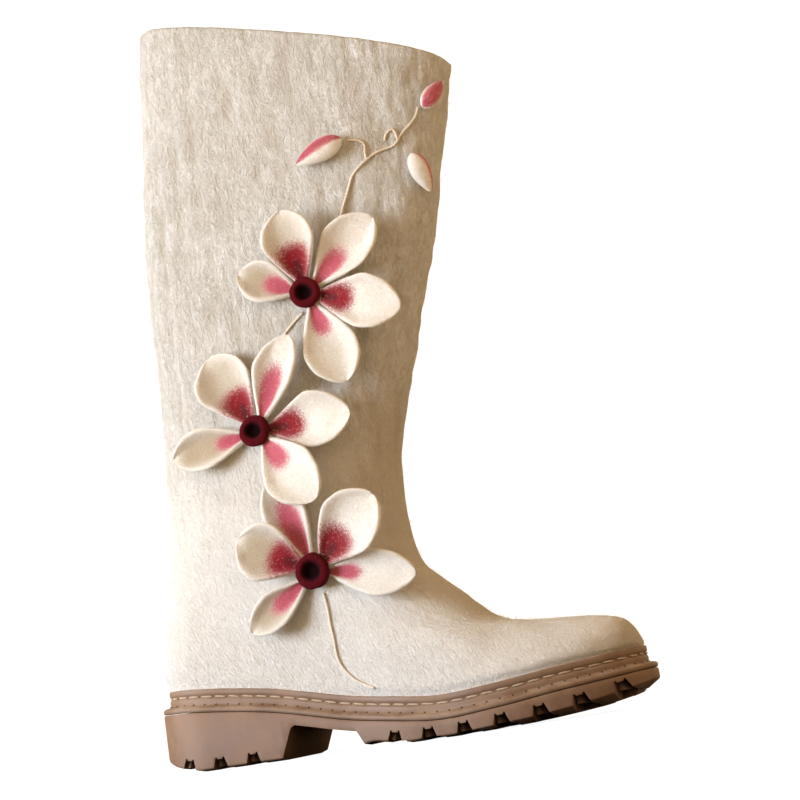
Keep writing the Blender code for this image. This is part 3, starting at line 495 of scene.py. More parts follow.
# Soft noise in the felt: lumps in a metre along x, y and z, a seed, and how far it moves the felt.
NOISES = {
    "lumps": ((16, 16, 11), 0.0, 0.0009),
    "ridges": ((125, 125, 24), 3.1, 0.00125),
    "small_ridges": ((270, 270, 75), 7.7, 0.0008),
    "foot": ((150, 150, 150), 11.3, 0.00022),
    "foot_waves": ((60, 60, 60), 1.9, 0.0003),
    "crease_drift": ((25, 25, 25), 5.5, 0.006),
    "creases": ((22, 22, 125), 2.4, 0.0011),
    "shade_drift": ((40, 40, 25), 8.2, 0.025),
}

# Ribs in a gap: start and end inwards from the sole's edge, slant, and how high over the tread's
# edge a rib's lower face lies, in depths of a gap.
RIBS = ((0.0035, 0.0085, 0.0042, 0.10), (0.0105, 0.0160, -0.0042, 0.02))

# Section of a gap between two lugs: shares of the gap's half width and of its depth.
GAP_SHAPE = table(
    "across deep",
    (-1.35, -0.90),
    (-0.66, 0.86),
    (-0.60, 1.04),
    (-0.46, 1.04),
    (-0.34, 0.86),
    (0.34,  0.86),
    (0.46,  1.04),
    (0.60,  1.04),
    (0.66,  0.86),
    (1.35,  -0.90),
)


def smooth_through(x, y, at):
    """Values at some places of a smooth curve through given rows, without overshoot."""
    more = (None,) * (np.ndim(y) - 1)
    step = np.diff(x)
    slope = np.diff(y, axis=0) / step[(..., *more)]
    pairs = slope[:-1] * slope[1:]
    inner = np.where(pairs > 0, 2 * pairs / np.where(pairs > 0, slope[:-1] + slope[1:], 1), 0)
    tangent = np.concatenate([slope[:1], inner, slope[-1:]])
    index = np.clip(np.searchsorted(x, at, side="right") - 1, 0, len(step) - 1)
    h = step[index][(..., *more)]
    t = ((at - x[index]) / step[index])[(..., *more)]
    return ((1 + 2 * t) * (1 - t) ** 2 * y[index] + t * (1 - t) ** 2 * h * tangent[index]
            + t * t * (3 - 2 * t) * y[index + 1] + t * t * (t - 1) * h * tangent[index + 1])


def curve(rows, column, at, along="along"):
    """Read a smooth curve through one column of a table."""
    x = rows[along]
    at = np.clip(np.asarray(at, float), min(x[0], x[-1]), max(x[0], x[-1]))
    return smooth_through(x, rows[column], at)


def unit(vectors):
    """Vectors brought to length one."""
    return vectors / np.linalg.norm(vectors, axis=-1, keepdims=True)


def sole_top(x):
    """Height of the sole unit's upper face."""
    along = x / SOLE_LENGTH
    return (curve(SOLE_TOP, "heel", along) * HEEL_HEIGHT + curve(SOLE_TOP, "ball", along) * BALL_HEIGHT
            + curve(SOLE_TOP, "spring", along) * TOE_SPRING)


def underside(x):
    """Height of the tread before it is cut."""
    along = x / SOLE_LENGTH
    return (curve(UNDERSIDE, "heel", along) * HEEL_ROUNDING
            + curve(UNDERSIDE, "spring", along) * TOE_SPRING)


def tread_edge(x):
    """Height of the tread at its outer edge."""
    return underside(x) + curve(UNDERSIDE, "edge", x / SOLE_LENGTH) * EDGE_LIFT


def band_top(x):
    return sole_top(x) + CLEARANCE + BAND_HEIGHT


def crown(x):
    """Height of the foot's top on its centre line."""
    along = x / SOLE_LENGTH
    return (band_top(x) + curve(CROWN, "toe", along) * TOE_DEPTH
            + curve(CROWN, "instep", along) * INSTEP_RISE)


def plan_loop(steps):
    """Closed outline of the sole: heel to toe on the outer side, and back on the inner side."""
    turn = np.linspace(0, math.pi, steps + 1)
    along = (1 - np.cos(turn)) / 2
    heel_share, heel_power = HEEL_ROUND
    toe_share, toe_power = TOE_ROUND
    heel_end = np.clip((heel_share - along) / heel_share, 0, 1)
    toe_end = np.clip((along - 1 + toe_share) / toe_share, 0, 1)
    ends = ((1 - heel_end ** heel_power) ** (1 / heel_power)
            * (1 - toe_end ** toe_power) ** (1 / toe_power))
    half = (curve(PLAN, "heel", along) * HEEL_WIDTH + curve(PLAN, "ball", along) * BALL_WIDTH) * ends
    middle = curve(PLAN, "centre", along) * BALL_WIDTH
    outer = np.stack([along * SOLE_LENGTH, middle - half], axis=1)
    inner = np.stack([along * SOLE_LENGTH, middle + half], axis=1)
    return np.concatenate([outer, inner[-2:0:-1]])


def outward(loop):
    """Unit normals of a closed outline."""
    ahead = np.roll(loop, -1, axis=0) - np.roll(loop, 1, axis=0)
    return unit(np.stack([ahead[:, 1], -ahead[:, 0]], axis=1))


def even_points(loop, half):
    """Places on a fine outline, evenly spaced from heel to toe on each side."""
    middle = len(loop) // 2
    places = []
    for first, last in ((0, middle), (middle, len(loop))):
        reach = np.arange(first, last + 1)
        side = loop[reach % len(loop)]
        length = np.concatenate([[0], np.cumsum(np.linalg.norm(np.diff(side, axis=0), axis=1))])
        places.append(np.interp(np.linspace(0, length[-1], half + 1)[:-1], length, reach))
    return np.concatenate(places)


FINE_LOOP = plan_loop(360)
FINE_NORMAL = outward(FINE_LOOP)
FINE_STEP = np.arange(len(FINE_LOOP) + 1)


def outline(inset, places):
    """The sole's outline moved in by a distance. Equal places give parallel outlines."""
    fine = FINE_LOOP - FINE_NORMAL * inset
    fine = np.vstack([fine, fine[:1]])
    return np.stack([np.interp(places, FINE_STEP, fine[:, k]) for k in range(2)], axis=1)


FELT_INSET = BAND_STEP + BAND_WALL + CLEARANCE


def felt_side(x, inner_side, inset):
    """The felt's y over the band at some x, on one side."""
    middle = len(FINE_LOOP) // 2
    fine = FINE_LOOP - FINE_NORMAL * inset
    side = np.vstack([fine[middle:], fine[:1]])[::-1] if inner_side else fine[:middle + 1]
    return np.interp(x, side[:, 0], side[:, 1])


def ring_points(front, back, flat, leg, puff, half_width, fullness, places):
    """One ring of the felt's outer face, from its front and back points."""
    base = outline(FELT_INSET, places)
    share = (base[:, 0] - base[:, 0].min()) / np.ptp(base[:, 0])
    x = back[0] + (front[0] - back[0]) * share
    plane = front[1] + (back[1] - front[1]) * (1 - share) ** (1 + FOOT_SAG * (1 - leg))
    lift_back, lift_front = back[1] - band_top(back[0]), front[1] - band_top(front[0])
    along_band = band_top(x) + lift_back * (1 - share) + lift_front * share
    z = flat * plane + (1 - flat) * along_band
    if leg < 1:
        fall = 1 - DOME_FALL * (1 - share)
        z = np.minimum(z, band_top(x) + (crown(x) - band_top(x)) * fall)
    count = len(base)
    side = np.where(np.arange(count) <= count // 2, -1, 1)
    toe_x = base[:, 0].max()
    even_x = toe_x - (toe_x - x) * (toe_x - base[:, 0].min()) / (toe_x - back[0])
    inset = FELT_INSET - puff * FELT_PUFF
    foot_y = np.where(side < 0, felt_side(even_x, False, inset), felt_side(even_x, True, inset))
    middle = (felt_side(even_x, False, inset) + felt_side(even_x, True, inset)) / 2
    rise = np.clip((z - band_top(x)) / (crown(x) - band_top(x)), 0, 1)
    rise = np.where(x < front[0] - SAME_PLACE, rise, 1)
    dome = (1 - rise ** DOME_POWER) ** (1 / DOME_POWER)
    ends = np.where((share > SAME_PLACE) & (share < 1 - SAME_PLACE), 1, 0)
    foot_y = middle + (foot_y - middle) * dome * ends
    oval = np.clip(1 - np.abs(2 * share - 1) ** fullness, 0, 1) ** (1 / fullness)
    leg_y = side * half_width * oval
    return np.stack([x, (1 - leg) * foot_y + leg * leg_y, z], axis=1)


def leg_size(name, at):
    return curve(LEG_RINGS, name, at, along="up")


def leg_ring(up, places):
    """A ring of the leg, from below the ankle to the rim."""
    ankle_back = FELT_INSET + ANKLE_SETBACK
    back_x = ankle_back + leg_size("back_x", up) * SHAFT_LEAN
    length = ANKLE_LENGTH + leg_size("length", up) * (COLLAR_LENGTH - ANKLE_LENGTH)
    width = ANKLE_WIDTH + leg_size("width", up) * (COLLAR_WIDTH - ANKLE_WIDTH)
    climb = SHAFT_HEIGHT - ANKLE_HEIGHT - ANKLE_TILT
    back_z = ANKLE_HEIGHT + ANKLE_TILT + climb * up
    drop = ANKLE_TILT + (COLLAR_DROP - ANKLE_TILT) * max(up, 0) ** 2
    return ring_points((back_x + length, back_z - drop), (back_x, back_z), 1, 1, 0,
                       width / 2, leg_size("round", up), places)


def foot_ring(row, places):
    """A ring of the foot, from the band to the instep. row may lie between two rows."""
    rows = np.arange(len(FOOT_RINGS["front"]), dtype=float)
    front, back, up, flat, leg, puff = (
        float(curve({"row": rows, name: FOOT_RINGS[name]}, name, row, along="row"))
        for name in ("front", "back", "up", "flat", "leg", "puff"))
    front_x = front * SOLE_LENGTH
    low = band_top(FELT_INSET)
    back_x = FELT_INSET + back * ANKLE_SETBACK
    back_z = low + up * (ANKLE_HEIGHT + ANKLE_TILT - low)
    return ring_points((front_x, crown(front_x)), (back_x, back_z), flat, leg, puff,
                       ANKLE_WIDTH / 2, LEG_RINGS["round"][0], places)


def relaxed(rings):
    """Even out the foot's rings between their front and back points, which stay."""
    along = rings[0, :, 0]
    share = (along - along.min()) / np.ptp(along)
    pull = (2 * share * (1 - share))[:, None]
    first, last = BAND_RINGS + 1, BAND_RINGS + len(FOOT_RINGS["front"])
    for _ in range(RELAX_PASSES):
        between = (rings[first - 1:last - 1] + rings[first + 1:last + 1]) / 2
        rings[first:last] += (between - rings[first:last]) * pull
    return rings


def felt_rings(places):
    """All rings of the felt's outer face, from the sole to the rim."""
    low = outline(FELT_INSET, places)
    rings = [np.column_stack([low, sole_top(low[:, 0]) + CLEARANCE]),
             np.column_stack([low, band_top(low[:, 0]) + CLEARANCE])]
    rings += [foot_ring(row, places) for row in range(len(FOOT_RINGS["front"]))]
    rings += [leg_ring(up, places) for up in LEG_RINGS["up"]]
    return relaxed(np.array(rings))


def ring_normals(rings):
    """Outward unit normals of a stack of closed rings."""
    around = np.roll(rings, -1, axis=1) - np.roll(rings, 1, axis=1)
    upward = np.gradient(rings, axis=0)
    return unit(np.cross(around, upward))


def lining_rings(rings):
    """The felt's inner face: the outer rings moved in by the wall."""
    normal = ring_normals(rings)
    normal[:2, :, 2] = 0
    return rings - unit(normal) * FELT_WALL


def smooth_step(value, low, high):
    """0 below low, 1 above high, and a soft ramp between them."""
    share = np.clip((np.asarray(value, float) - low) / (high - low), 0, 1)
    return share * share * (3 - 2 * share)


def cloud(points, scale, seed=0.0):
    """Soft noise from -1 to 1 at many points. scale: lumps in a metre, along x, y and z."""
    places = np.asarray(points) * scale + seed
    return np.array([noise.noise(place) for place in places])


def noise_of(name, points):
    """One of the felt's soft noises, at its full depth."""
    scale, seed, depth = NOISES[name]
    return cloud(points, scale, seed) * depth


def grid_faces(rows, columns, closed=True):
    """Faces of a grid of points, row after row; a closed grid joins its last column to its first."""
    steps = columns if closed else columns - 1
    lower = np.arange(rows - 1)[:, None] * columns
    here = np.arange(steps)[None, :]
    ahead = (here + 1) % columns
    quads = np.stack([lower + here, lower + ahead, lower + columns + ahead, lower + columns + here], 2)
    return quads.reshape(-1, 4).tolist()


def wall_faces(rows, columns):
    """Faces of a closed wall: a stack of rings whose last ring joins its first."""
    last = (rows - 1) * columns
    return grid_faces(rows, columns) + [
        [last + i, last + (i + 1) % columns, (i + 1) % columns, i] for i in range(columns)]


def shell_faces(rows, columns):
    """Faces of a closed tube of points whose two end rings are shut."""
    ends = [list(range(columns))[::-1], list(range((rows - 1) * columns, rows * columns))]
    return grid_faces(rows, columns) + ends


def add_piece(name, points, faces, look, slot, stands_for=(), marks=None, sharp=None):
    """A finished piece: a mesh in the part's frame that rides on the boot."""
    mesh = bpy.data.meshes.new(name)
    places = np.asarray(points, float).reshape(-1, 3) - (ORIGIN_X, 0, 0)
    mesh.from_pydata(places.tolist(), [], faces)
    for mark, values in (marks or {}).items():
        mesh.attributes.new(mark, "FLOAT", "POINT").data.foreach_set(
            "value", np.asarray(values, np.float32).ravel())
    build = bmesh.new()
    build.from_mesh(mesh)
    bmesh.ops.recalc_face_normals(build, faces=build.faces)
    build.to_mesh(mesh)
    build.free()
    return finish_piece(bpy.data.objects.new(name, mesh), look, slot, stands_for, sharp)


def finish_piece(piece, look, slot, stands_for=(), sharp=None):
    """Link a piece whose mesh is in place, give it its finish and tie it to the frame."""
    if piece.name not in bpy.context.scene.collection.objects:
        bpy.context.scene.collection.objects.link(piece)
    if not piece.data.materials:
        piece.data.materials.append(look)
    piece.data.shade_smooth()
    if sharp:
        piece.data.set_sharp_from_angle(angle=math.radians(sharp))
    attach(piece, "root")
    if stands_for:
        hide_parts(*stands_for)
    return piece


# Shader nodes

def put(tree, kind, settings=None, **sockets):
    """Add a node. A socket is named, or given as _0, _1 for its number; a socket given is linked."""
    made = tree.nodes.new(kind)
    for name, value in (settings or {}).items():
        setattr(made, name, value)
    for name, value in sockets.items():
        key = int(name[1:]) if name[0] == "_" else name.replace("_", " ")
        if isinstance(value, bpy.types.NodeSocket):
            tree.links.new(value, made.inputs[key])
        else:
            made.inputs[key].default_value = value
    return made


def reckon(tree, operation, *values, clamp=False):
    """A Math node's result."""
    sockets = {f"_{i}": value for i, value in enumerate(values)}
    return put(tree, "ShaderNodeMath", {"operation": operation, "use_clamp": clamp}, **sockets).outputs[0]


def blend_colours(tree, share, first, second):
    """A blend of two colours. Each is a socket, or red, green and blue."""
    first, second = ((*colour, 1) if isinstance(colour, tuple) else colour
                     for colour in (first, second))
    sockets = {"_0": share, "_6": first, "_7": second}
    return put(tree, "ShaderNodeMix", {"data_type": "RGBA"}, **sockets).outputs[2]


def mark_of(tree, name):
    """A mark that the piece's points carry."""
    return put(tree, "ShaderNodeAttribute", {"attribute_name": name}).outputs["Fac"]


def own_place(tree):
    return put(tree, "ShaderNodeTexCoord").outputs["Object"]


def ramp(tree, value, low, high):
    """A soft ramp from 0 at low to 1 at high."""
    return put(tree, "ShaderNodeMapRange", {"interpolation_type": "SMOOTHSTEP"}, Value=value,
               From_Min=low, From_Max=high).outputs[0]


def shader_group(name, inputs, outputs):
    """An empty shader group with named sockets, and its two ends."""
    group = bpy.data.node_groups.new(name, "ShaderNodeTree")
    for label, kind, value in inputs:
        socket = group.interface.new_socket(label, in_out="INPUT", socket_type=f"NodeSocket{kind}")
        socket.default_value = value
    for label, kind in outputs:
        group.interface.new_socket(label, in_out="OUTPUT", socket_type=f"NodeSocket{kind}")
    return group, put(group, "NodeGroupInput").outputs, put(group, "NodeGroupOutput").inputs


def felt_surface_group():
    """Matted wool: curly pebbles drawn out along one direction, with fine fibres over them."""
    group, given, result = shader_group(
        "felt_surface",
        [("Pebbles", "Float", 480.0), ("Fibres", "Float", 1500.0), ("Stretch", "Vector", (1, 1, 1)),
         ("Turn", "Vector", (0, 0, 0))],
        [("Height", "Float"), ("Shade", "Float")])
    place = own_place(group)
    turned = put(group, "ShaderNodeMapping", Vector=place, Rotation=given["Turn"]).outputs[0]
    drawn = put(group, "ShaderNodeVectorMath", {"operation": "MULTIPLY"}, _0=turned,
                _1=given["Stretch"]).outputs[0]
    pebbles = put(group, "ShaderNodeTexNoise", Vector=drawn, Scale=given["Pebbles"], Detail=3.0,
                  Roughness=0.62, Distortion=0.9).outputs[0]
    curls = put(group, "ShaderNodeTexNoise", Vector=drawn, Scale=given["Fibres"], Detail=2.0,
                Roughness=0.6, Distortion=1.6).outputs[0]
    line = reckon(group, "ABSOLUTE", reckon(group, "SUBTRACT", curls, 0.5))
    fibres = reckon(group, "SUBTRACT", 1.0, reckon(group, "MULTIPLY", line, 5.0, clamp=True))
    broad = put(group, "ShaderNodeTexNoise", Vector=place, Scale=42.0, Detail=2.0).outputs[0]
    height = reckon(group, "ADD", reckon(group, "MULTIPLY", pebbles, 0.75),
                    reckon(group, "MULTIPLY", fibres, 0.16))
    group.links.new(height, result["Height"])
    # the shade is darker in the pebbles' hollows, a painted shade that follows the bump, with random tone
    # from the broad noise
    shade = reckon(group, "ADD", reckon(group, "MULTIPLY", pebbles, 0.8),
                   reckon(group, "MULTIPLY", broad, 0.35))
    group.links.new(ramp(group, shade, 0.35, 0.85), result["Shade"])
    return group


def rubber_surface_group():
    """Moulded rubber: a faint grain, cloudy wear, and dust that lightens what faces up."""
    group, given, result = shader_group(
        "rubber_surface", [("Grain", "Float", 1400.0), ("Wear", "Float", 60.0)],
        [("Height", "Float"), ("Cloud", "Float"), ("Dust", "Float")])
    place = own_place(group)
    grain = put(group, "ShaderNodeTexNoise", Vector=place, Scale=given["Grain"], Detail=2.0,
                Roughness=0.6).outputs[0]
    cloud_noise = put(group, "ShaderNodeTexNoise", Vector=place, Scale=given["Wear"], Detail=4.0,
                      Roughness=0.65).outputs[0]
    facing = put(group, "ShaderNodeSeparateXYZ",
                 Vector=put(group, "ShaderNodeNewGeometry").outputs["Normal"]).outputs["Z"]
    group.links.new(grain, result["Height"])
    group.links.new(ramp(group, cloud_noise, 0.32, 0.72), result["Cloud"])
    dust = reckon(group, "MULTIPLY", ramp(group, facing, 0.25, 0.95),
                  ramp(group, cloud_noise, 0.40, 0.75))
    group.links.new(dust, result["Dust"])
    return group


def new_look(name, roughness, **settings):
    """A material with its Principled shader, whose constants are set on its own sockets."""
    made = bpy.data.materials.new(name)
    made.use_nodes = True
    shader = made.node_tree.nodes["Principled BSDF"]
    shader.inputs["Roughness"].default_value = roughness
    for label, value in settings.items():
        shader.inputs[label.replace("_", " ")].default_value = value
    return made, made.node_tree, shader


def bump(tree, shader, height, strength, distance):
    raised = put(tree, "ShaderNodeBump", Strength=strength, Distance=distance, Height=height)
    tree.links.new(raised.outputs[0], shader.inputs["Normal"])


def felt_look(name, group, shades, pebbles, depth, sheen=0.35):
    """Plain wool felt in two shades."""
    made, tree, shader = new_look(name, 0.96, Sheen_Weight=sheen, Sheen_Roughness=0.55,
                                  Sheen_Tint=SHEEN_TINT, Specular_IOR_Level=0.15)
    wool = put(tree, "ShaderNodeGroup", {"node_tree": group}, Pebbles=pebbles,
               Fibres=pebbles * 3.1)
    colour = blend_colours(tree, wool.outputs["Shade"], *shades[::-1])
    tree.links.new(colour, shader.inputs["Base Color"])
    bump(tree, shader, wool.outputs["Height"], 1.0, depth)
    return made


def leg_felt_look(group):
    """The boot's felt: upright pebbly ridges on the leg, slanting fibres on the foot."""
    made, tree, shader = new_look("boot_felt", 0.96, Sheen_Weight=0.35, Sheen_Roughness=0.55,
                                  Sheen_Tint=SHEEN_TINT, Specular_IOR_Level=0.15)
    leg = put(tree, "ShaderNodeGroup", {"node_tree": group}, Pebbles=350.0, Fibres=1150.0,
              Stretch=(1.0, 1.0, 0.46))
    foot = put(tree, "ShaderNodeGroup", {"node_tree": group}, Pebbles=560.0, Fibres=1500.0,
               Stretch=(1.0, 1.0, 0.38), Turn=(0, math.radians(35), 0))
    on_leg = mark_of(tree, "leg")
    height = put(tree, "ShaderNodeMix", _0=on_leg, _2=foot.outputs["Height"],
                 _3=reckon(tree, "MULTIPLY", leg.outputs["Height"], 1.7)).outputs[0]
    shade = put(tree, "ShaderNodeMix", _0=on_leg, _2=foot.outputs["Shade"],
                _3=leg.outputs["Shade"]).outputs[0]
    leg_colour = blend_colours(tree, shade, *LEG_WOOL[::-1])
    # the foot is painted lighter than the leg, as painted light
    lit_foot_colour = blend_colours(tree, shade, *LIT_FOOT_WOOL[::-1])
    plain = blend_colours(tree, on_leg, lit_foot_colour, leg_colour)
    # painted shade: the leg's valleys and the felt over the instep go towards brown
    colour = blend_colours(tree, mark_of(tree, "valley"), plain, SHADED_WOOL)
    tree.links.new(colour, shader.inputs["Base Color"])
    bump(tree, shader, height, 1.0, 0.0024)
    return made


def petal_look(name, group):
    """White felt whose root is stained: crimson or pink, with a speckled edge."""
    made, tree, shader = new_look(name, 0.96, Sheen_Weight=0.3, Sheen_Roughness=0.5,
                                  Sheen_Tint=(1.0, 0.96, 0.94, 1), Specular_IOR_Level=0.15)
    wool = put(tree, "ShaderNodeGroup", {"node_tree": group}, Pebbles=700.0, Fibres=1900.0)
    rose, tone = mark_of(tree, "rose"), mark_of(tree, "tone")
    place = own_place(tree)
    speckles = put(tree, "ShaderNodeTexNoise", Vector=place, Scale=1700.0, Detail=2.0,
                   Roughness=0.75).outputs
    other = put(tree, "ShaderNodeSeparateColor", Color=speckles[1]).outputs["Green"]
    strewn, dense = (reckon(tree, "MULTIPLY_ADD", reckon(tree, "SUBTRACT", grain, 0.5), 1.7, rose)
                     for grain in (speckles[0], other))
    edge = ramp(tree, strewn, -0.05, 0.42)
    heart = ramp(tree, dense, 0.05, 0.55)
    white = blend_colours(tree, wool.outputs["Shade"], *PETAL_WOOL[::-1])
    # painted shade in the cups, deeper for petals turned away from the light
    white = blend_colours(tree, mark_of(tree, "cup"), white, SHADED_WOOL)
    deep = blend_colours(tree, tone, *DEEP_STAIN)
    pale = blend_colours(tree, tone, *PALE_STAIN)
    stain = blend_colours(tree, heart, pale, deep)
    root = reckon(tree, "MULTIPLY", ramp(tree, rose, 0.80, 1.0), tone)
    stain = blend_colours(tree, root, stain, ROOT_STAIN)
    colour = blend_colours(tree, edge, white, stain)
    tree.links.new(colour, shader.inputs["Base Color"])
    bump(tree, shader, wool.outputs["Height"], 1.0, 0.0009)
    return made


def heart_look(group):
    """Dark crimson felt, with painted shade that makes the dimple almost black."""
    made, tree, shader = new_look("heart_wool", 0.96, Sheen_Weight=0.08, Sheen_Roughness=0.5,
                                  Sheen_Tint=(0.8, 0.1, 0.2, 1), Specular_IOR_Level=0.1)
    wool = put(tree, "ShaderNodeGroup", {"node_tree": group}, Pebbles=900.0, Fibres=2300.0)
    rolled = blend_colours(tree, wool.outputs["Shade"], *HEART_WOOL[::-1])
    colour = blend_colours(tree, mark_of(tree, "hole"), rolled, DIMPLE_SHADE)
    tree.links.new(colour, shader.inputs["Base Color"])
    bump(tree, shader, wool.outputs["Height"], 1.0, 0.0007)
    return made


def rubber_look(name, group, shades, roughness, hollow_shade=None):
    """Tan moulded rubber, which can carry painted shade inside gaps."""
    made, tree, shader = new_look(name, roughness, Specular_IOR_Level=0.42)
    skin = put(tree, "ShaderNodeGroup", {"node_tree": group}, Grain=1500.0, Wear=55.0)
    dark, light, dusty = shades
    cloudy = blend_colours(tree, skin.outputs["Cloud"], dark, light)
    colour = blend_colours(tree, skin.outputs["Dust"], cloudy, dusty)
    tree.links.new(colour, shader.inputs["Base Color"])
    tree.links.new(reckon(tree, "ADD", roughness - 0.06,
                          reckon(tree, "MULTIPLY", skin.outputs["Cloud"], 0.14)),
                   shader.inputs["Roughness"])
    bump(tree, shader, skin.outputs["Height"], 0.35, 0.0003)
    if hollow_shade:
        # painted shade: occluded rubber in gaps and hollows goes dark
        around = put(tree, "ShaderNodeAmbientOcclusion", {"samples": 8, "only_local": True},
                     Distance=GAP_SHADE_REACH).outputs["AO"]
        open_air = ramp(tree, around, 0.35, 0.85)
        tree.links.new(blend_colours(tree, open_air, hollow_shade, colour), shader.inputs["Base Color"])
    return made


def thread_look(name, shades, twist):
    """Spun thread or yarn: ply after ply along the piece's own length."""
    made, tree, shader = new_look(name, 0.85, Sheen_Weight=0.3, Sheen_Roughness=0.4,
                                  Sheen_Tint=SHEEN_TINT, Specular_IOR_Level=0.2)
    place = own_place(tree)
    ply = put(tree, "ShaderNodeTexWave", {"bands_direction": "DIAGONAL"}, Vector=place, Scale=twist,
              Distortion=2.5, Detail=2.0, Detail_Scale=2.0).outputs["Fac"]
    # darker where the ply wave sinks, a painted shade that follows the bump
    colour = blend_colours(tree, ply, *shades[::-1])
    tree.links.new(colour, shader.inputs["Base Color"])
    bump(tree, shader, ply, 0.6, 0.0003)
    return made


# Geometry trees

def geometry_tree(name, sizes):
    """An empty tree with the base's geometry, named sizes, and the result's end."""
    tree = bpy.data.node_groups.new(name, "GeometryNodeTree")
    tree.interface.new_socket("Geometry", in_out="INPUT", socket_type="NodeSocketGeometry")
    for label, kind in sizes:
        tree.interface.new_socket(label, in_out="INPUT", socket_type=f"NodeSocket{kind}")
    tree.interface.new_socket("Geometry", in_out="OUTPUT", socket_type="NodeSocketGeometry")
    return tree, put(tree, "NodeGroupInput").outputs, put(tree, "NodeGroupOutput").inputs


def end_tree(tree, shape, look, result):
    """Close a tree: make the copies real and give them their finish."""
    real = put(tree, "GeometryNodeRealizeInstances", Geometry=shape).outputs[0]
    dressed = put(tree, "GeometryNodeSetMaterial", Geometry=real, Material=look).outputs[0]
    tree.links.new(dressed, result["Geometry"])


def grown_mesh(name, base, tree, sizes):
    """Run a tree on a base mesh and keep the result as a plain mesh."""
    carrier = bpy.data.objects.new(name + "_base", base)
    bpy.context.scene.collection.objects.link(carrier)
    grower = carrier.modifiers.new("grow", "NODES")
    grower.node_group = tree
    for item in tree.interface.items_tree:
        if item.item_type == "SOCKET" and item.in_out == "INPUT" and item.name in sizes:
            grower[item.identifier] = sizes[item.name]
    graph = bpy.context.evaluated_depsgraph_get()
    mesh = bpy.data.meshes.new_from_object(carrier.evaluated_get(graph), depsgraph=graph)
    bpy.data.objects.remove(carrier)
    mesh.name = name
    return mesh


def row_tree(name, look, lengthwise):
    """Small bodies set at even steps along a line: stitches, or pricks."""
    tree, given, result = geometry_tree(
        name, [("Pitch", "Float"), ("Length", "Float"), ("Thickness", "Float"), ("Slant", "Float"),
               ("Unevenness", "Float"), ("Seed", "Int")])
    line = put(tree, "GeometryNodeMeshToCurve", Mesh=given["Geometry"]).outputs[0]
    even = put(tree, "GeometryNodeResampleCurve", Curve=line)
    even.mode = "LENGTH"
    tree.links.new(given["Pitch"], even.inputs["Length"])
    ball = put(tree, "GeometryNodeMeshUVSphere", Segments=8, Rings=6 if lengthwise else 4,
               Radius=0.5)
    smooth = put(tree, "GeometryNodeSetShadeSmooth", Geometry=ball.outputs[0]).outputs[0]
    size = put(tree, "ShaderNodeCombineXYZ", X=given["Length"], Y=given["Thickness"],
               Z=given["Thickness"]).outputs[0]
    shaped = put(tree, "GeometryNodeTransform", Geometry=smooth, Scale=size).outputs[0]
    along = put(tree, "GeometryNodeInputTangent").outputs[0]
    aimed = put(tree, "FunctionNodeAlignRotationToVector", {"axis": "X"}, Vector=along).outputs[0]
    wobble = put(tree, "FunctionNodeRandomValue", {"data_type": "FLOAT"}, _2=-1.0, _3=1.0,
                 Seed=given["Seed"]).outputs[1]
    sway = put(tree, "ShaderNodeMath", {"operation": "MULTIPLY_ADD"}, _0=wobble,
               _1=given["Unevenness"], _2=given["Slant"]).outputs[0]
    lean = put(tree, "ShaderNodeCombineXYZ", Y=sway, Z=sway).outputs[0]
    slanted = put(tree, "FunctionNodeRotateRotation", {"rotation_space": "LOCAL"}, Rotation=aimed,
                  Rotate_By=lean).outputs[0]
    set_out = put(tree, "GeometryNodeInstanceOnPoints", Points=even.outputs[0], Instance=shaped,
                  Rotation=slanted).outputs[0]
    end_tree(tree, set_out, look, result)
    return tree


def fuzz_tree(look):
    """Loose wool hairs, strewn over a face and bent down to it."""
    tree, given, result = geometry_tree(
        "wool_fuzz", [("Density", "Float"), ("Length", "Float"), ("Width", "Float"), ("Seed", "Int")])
    strewn = put(tree, "GeometryNodeDistributePointsOnFaces", Mesh=given["Geometry"],
                 Density=given["Density"], Seed=given["Seed"])
    hair = put(tree, "GeometryNodeObjectInfo")
    hair.inputs["Object"].default_value = hair_shape()
    size = put(tree, "ShaderNodeCombineXYZ", X=given["Width"], Y=given["Length"],
               Z=given["Length"]).outputs[0]
    chance = put(tree, "FunctionNodeRandomValue", {"data_type": "FLOAT"}, _2=HAIR_LENGTHS[0],
                 _3=HAIR_LENGTHS[1], Seed=given["Seed"]).outputs[1]
    sized = put(tree, "ShaderNodeVectorMath", {"operation": "SCALE"}, _0=size, Scale=chance).outputs[0]
    tilt = put(tree, "FunctionNodeRandomValue", {"data_type": "FLOAT_VECTOR"},
               _0=(math.radians(HAIR_BEND[0]), -HAIR_LEAN, 0.0),
               _1=(math.radians(HAIR_BEND[1]), HAIR_LEAN, math.tau),
               Seed=given["Seed"]).outputs[0]
    apart = put(tree, "ShaderNodeSeparateXYZ", Vector=tilt)
    turn = put(tree, "ShaderNodeCombineXYZ", Z=apart.outputs["Z"]).outputs[0]
    lean = put(tree, "ShaderNodeCombineXYZ", X=apart.outputs["X"], Y=apart.outputs["Y"]).outputs[0]
    turned = put(tree, "FunctionNodeRotateRotation", {"rotation_space": "LOCAL"},
                 Rotation=strewn.outputs["Rotation"], Rotate_By=turn).outputs[0]
    bent = put(tree, "FunctionNodeRotateRotation", {"rotation_space": "LOCAL"}, Rotation=turned,
               Rotate_By=lean).outputs[0]
    set_out = put(tree, "GeometryNodeInstanceOnPoints", Points=strewn.outputs["Points"],
                  Instance=hair.outputs["Geometry"], Rotation=bent, Scale=sized).outputs[0]
    end_tree(tree, set_out, look, result)
    return tree


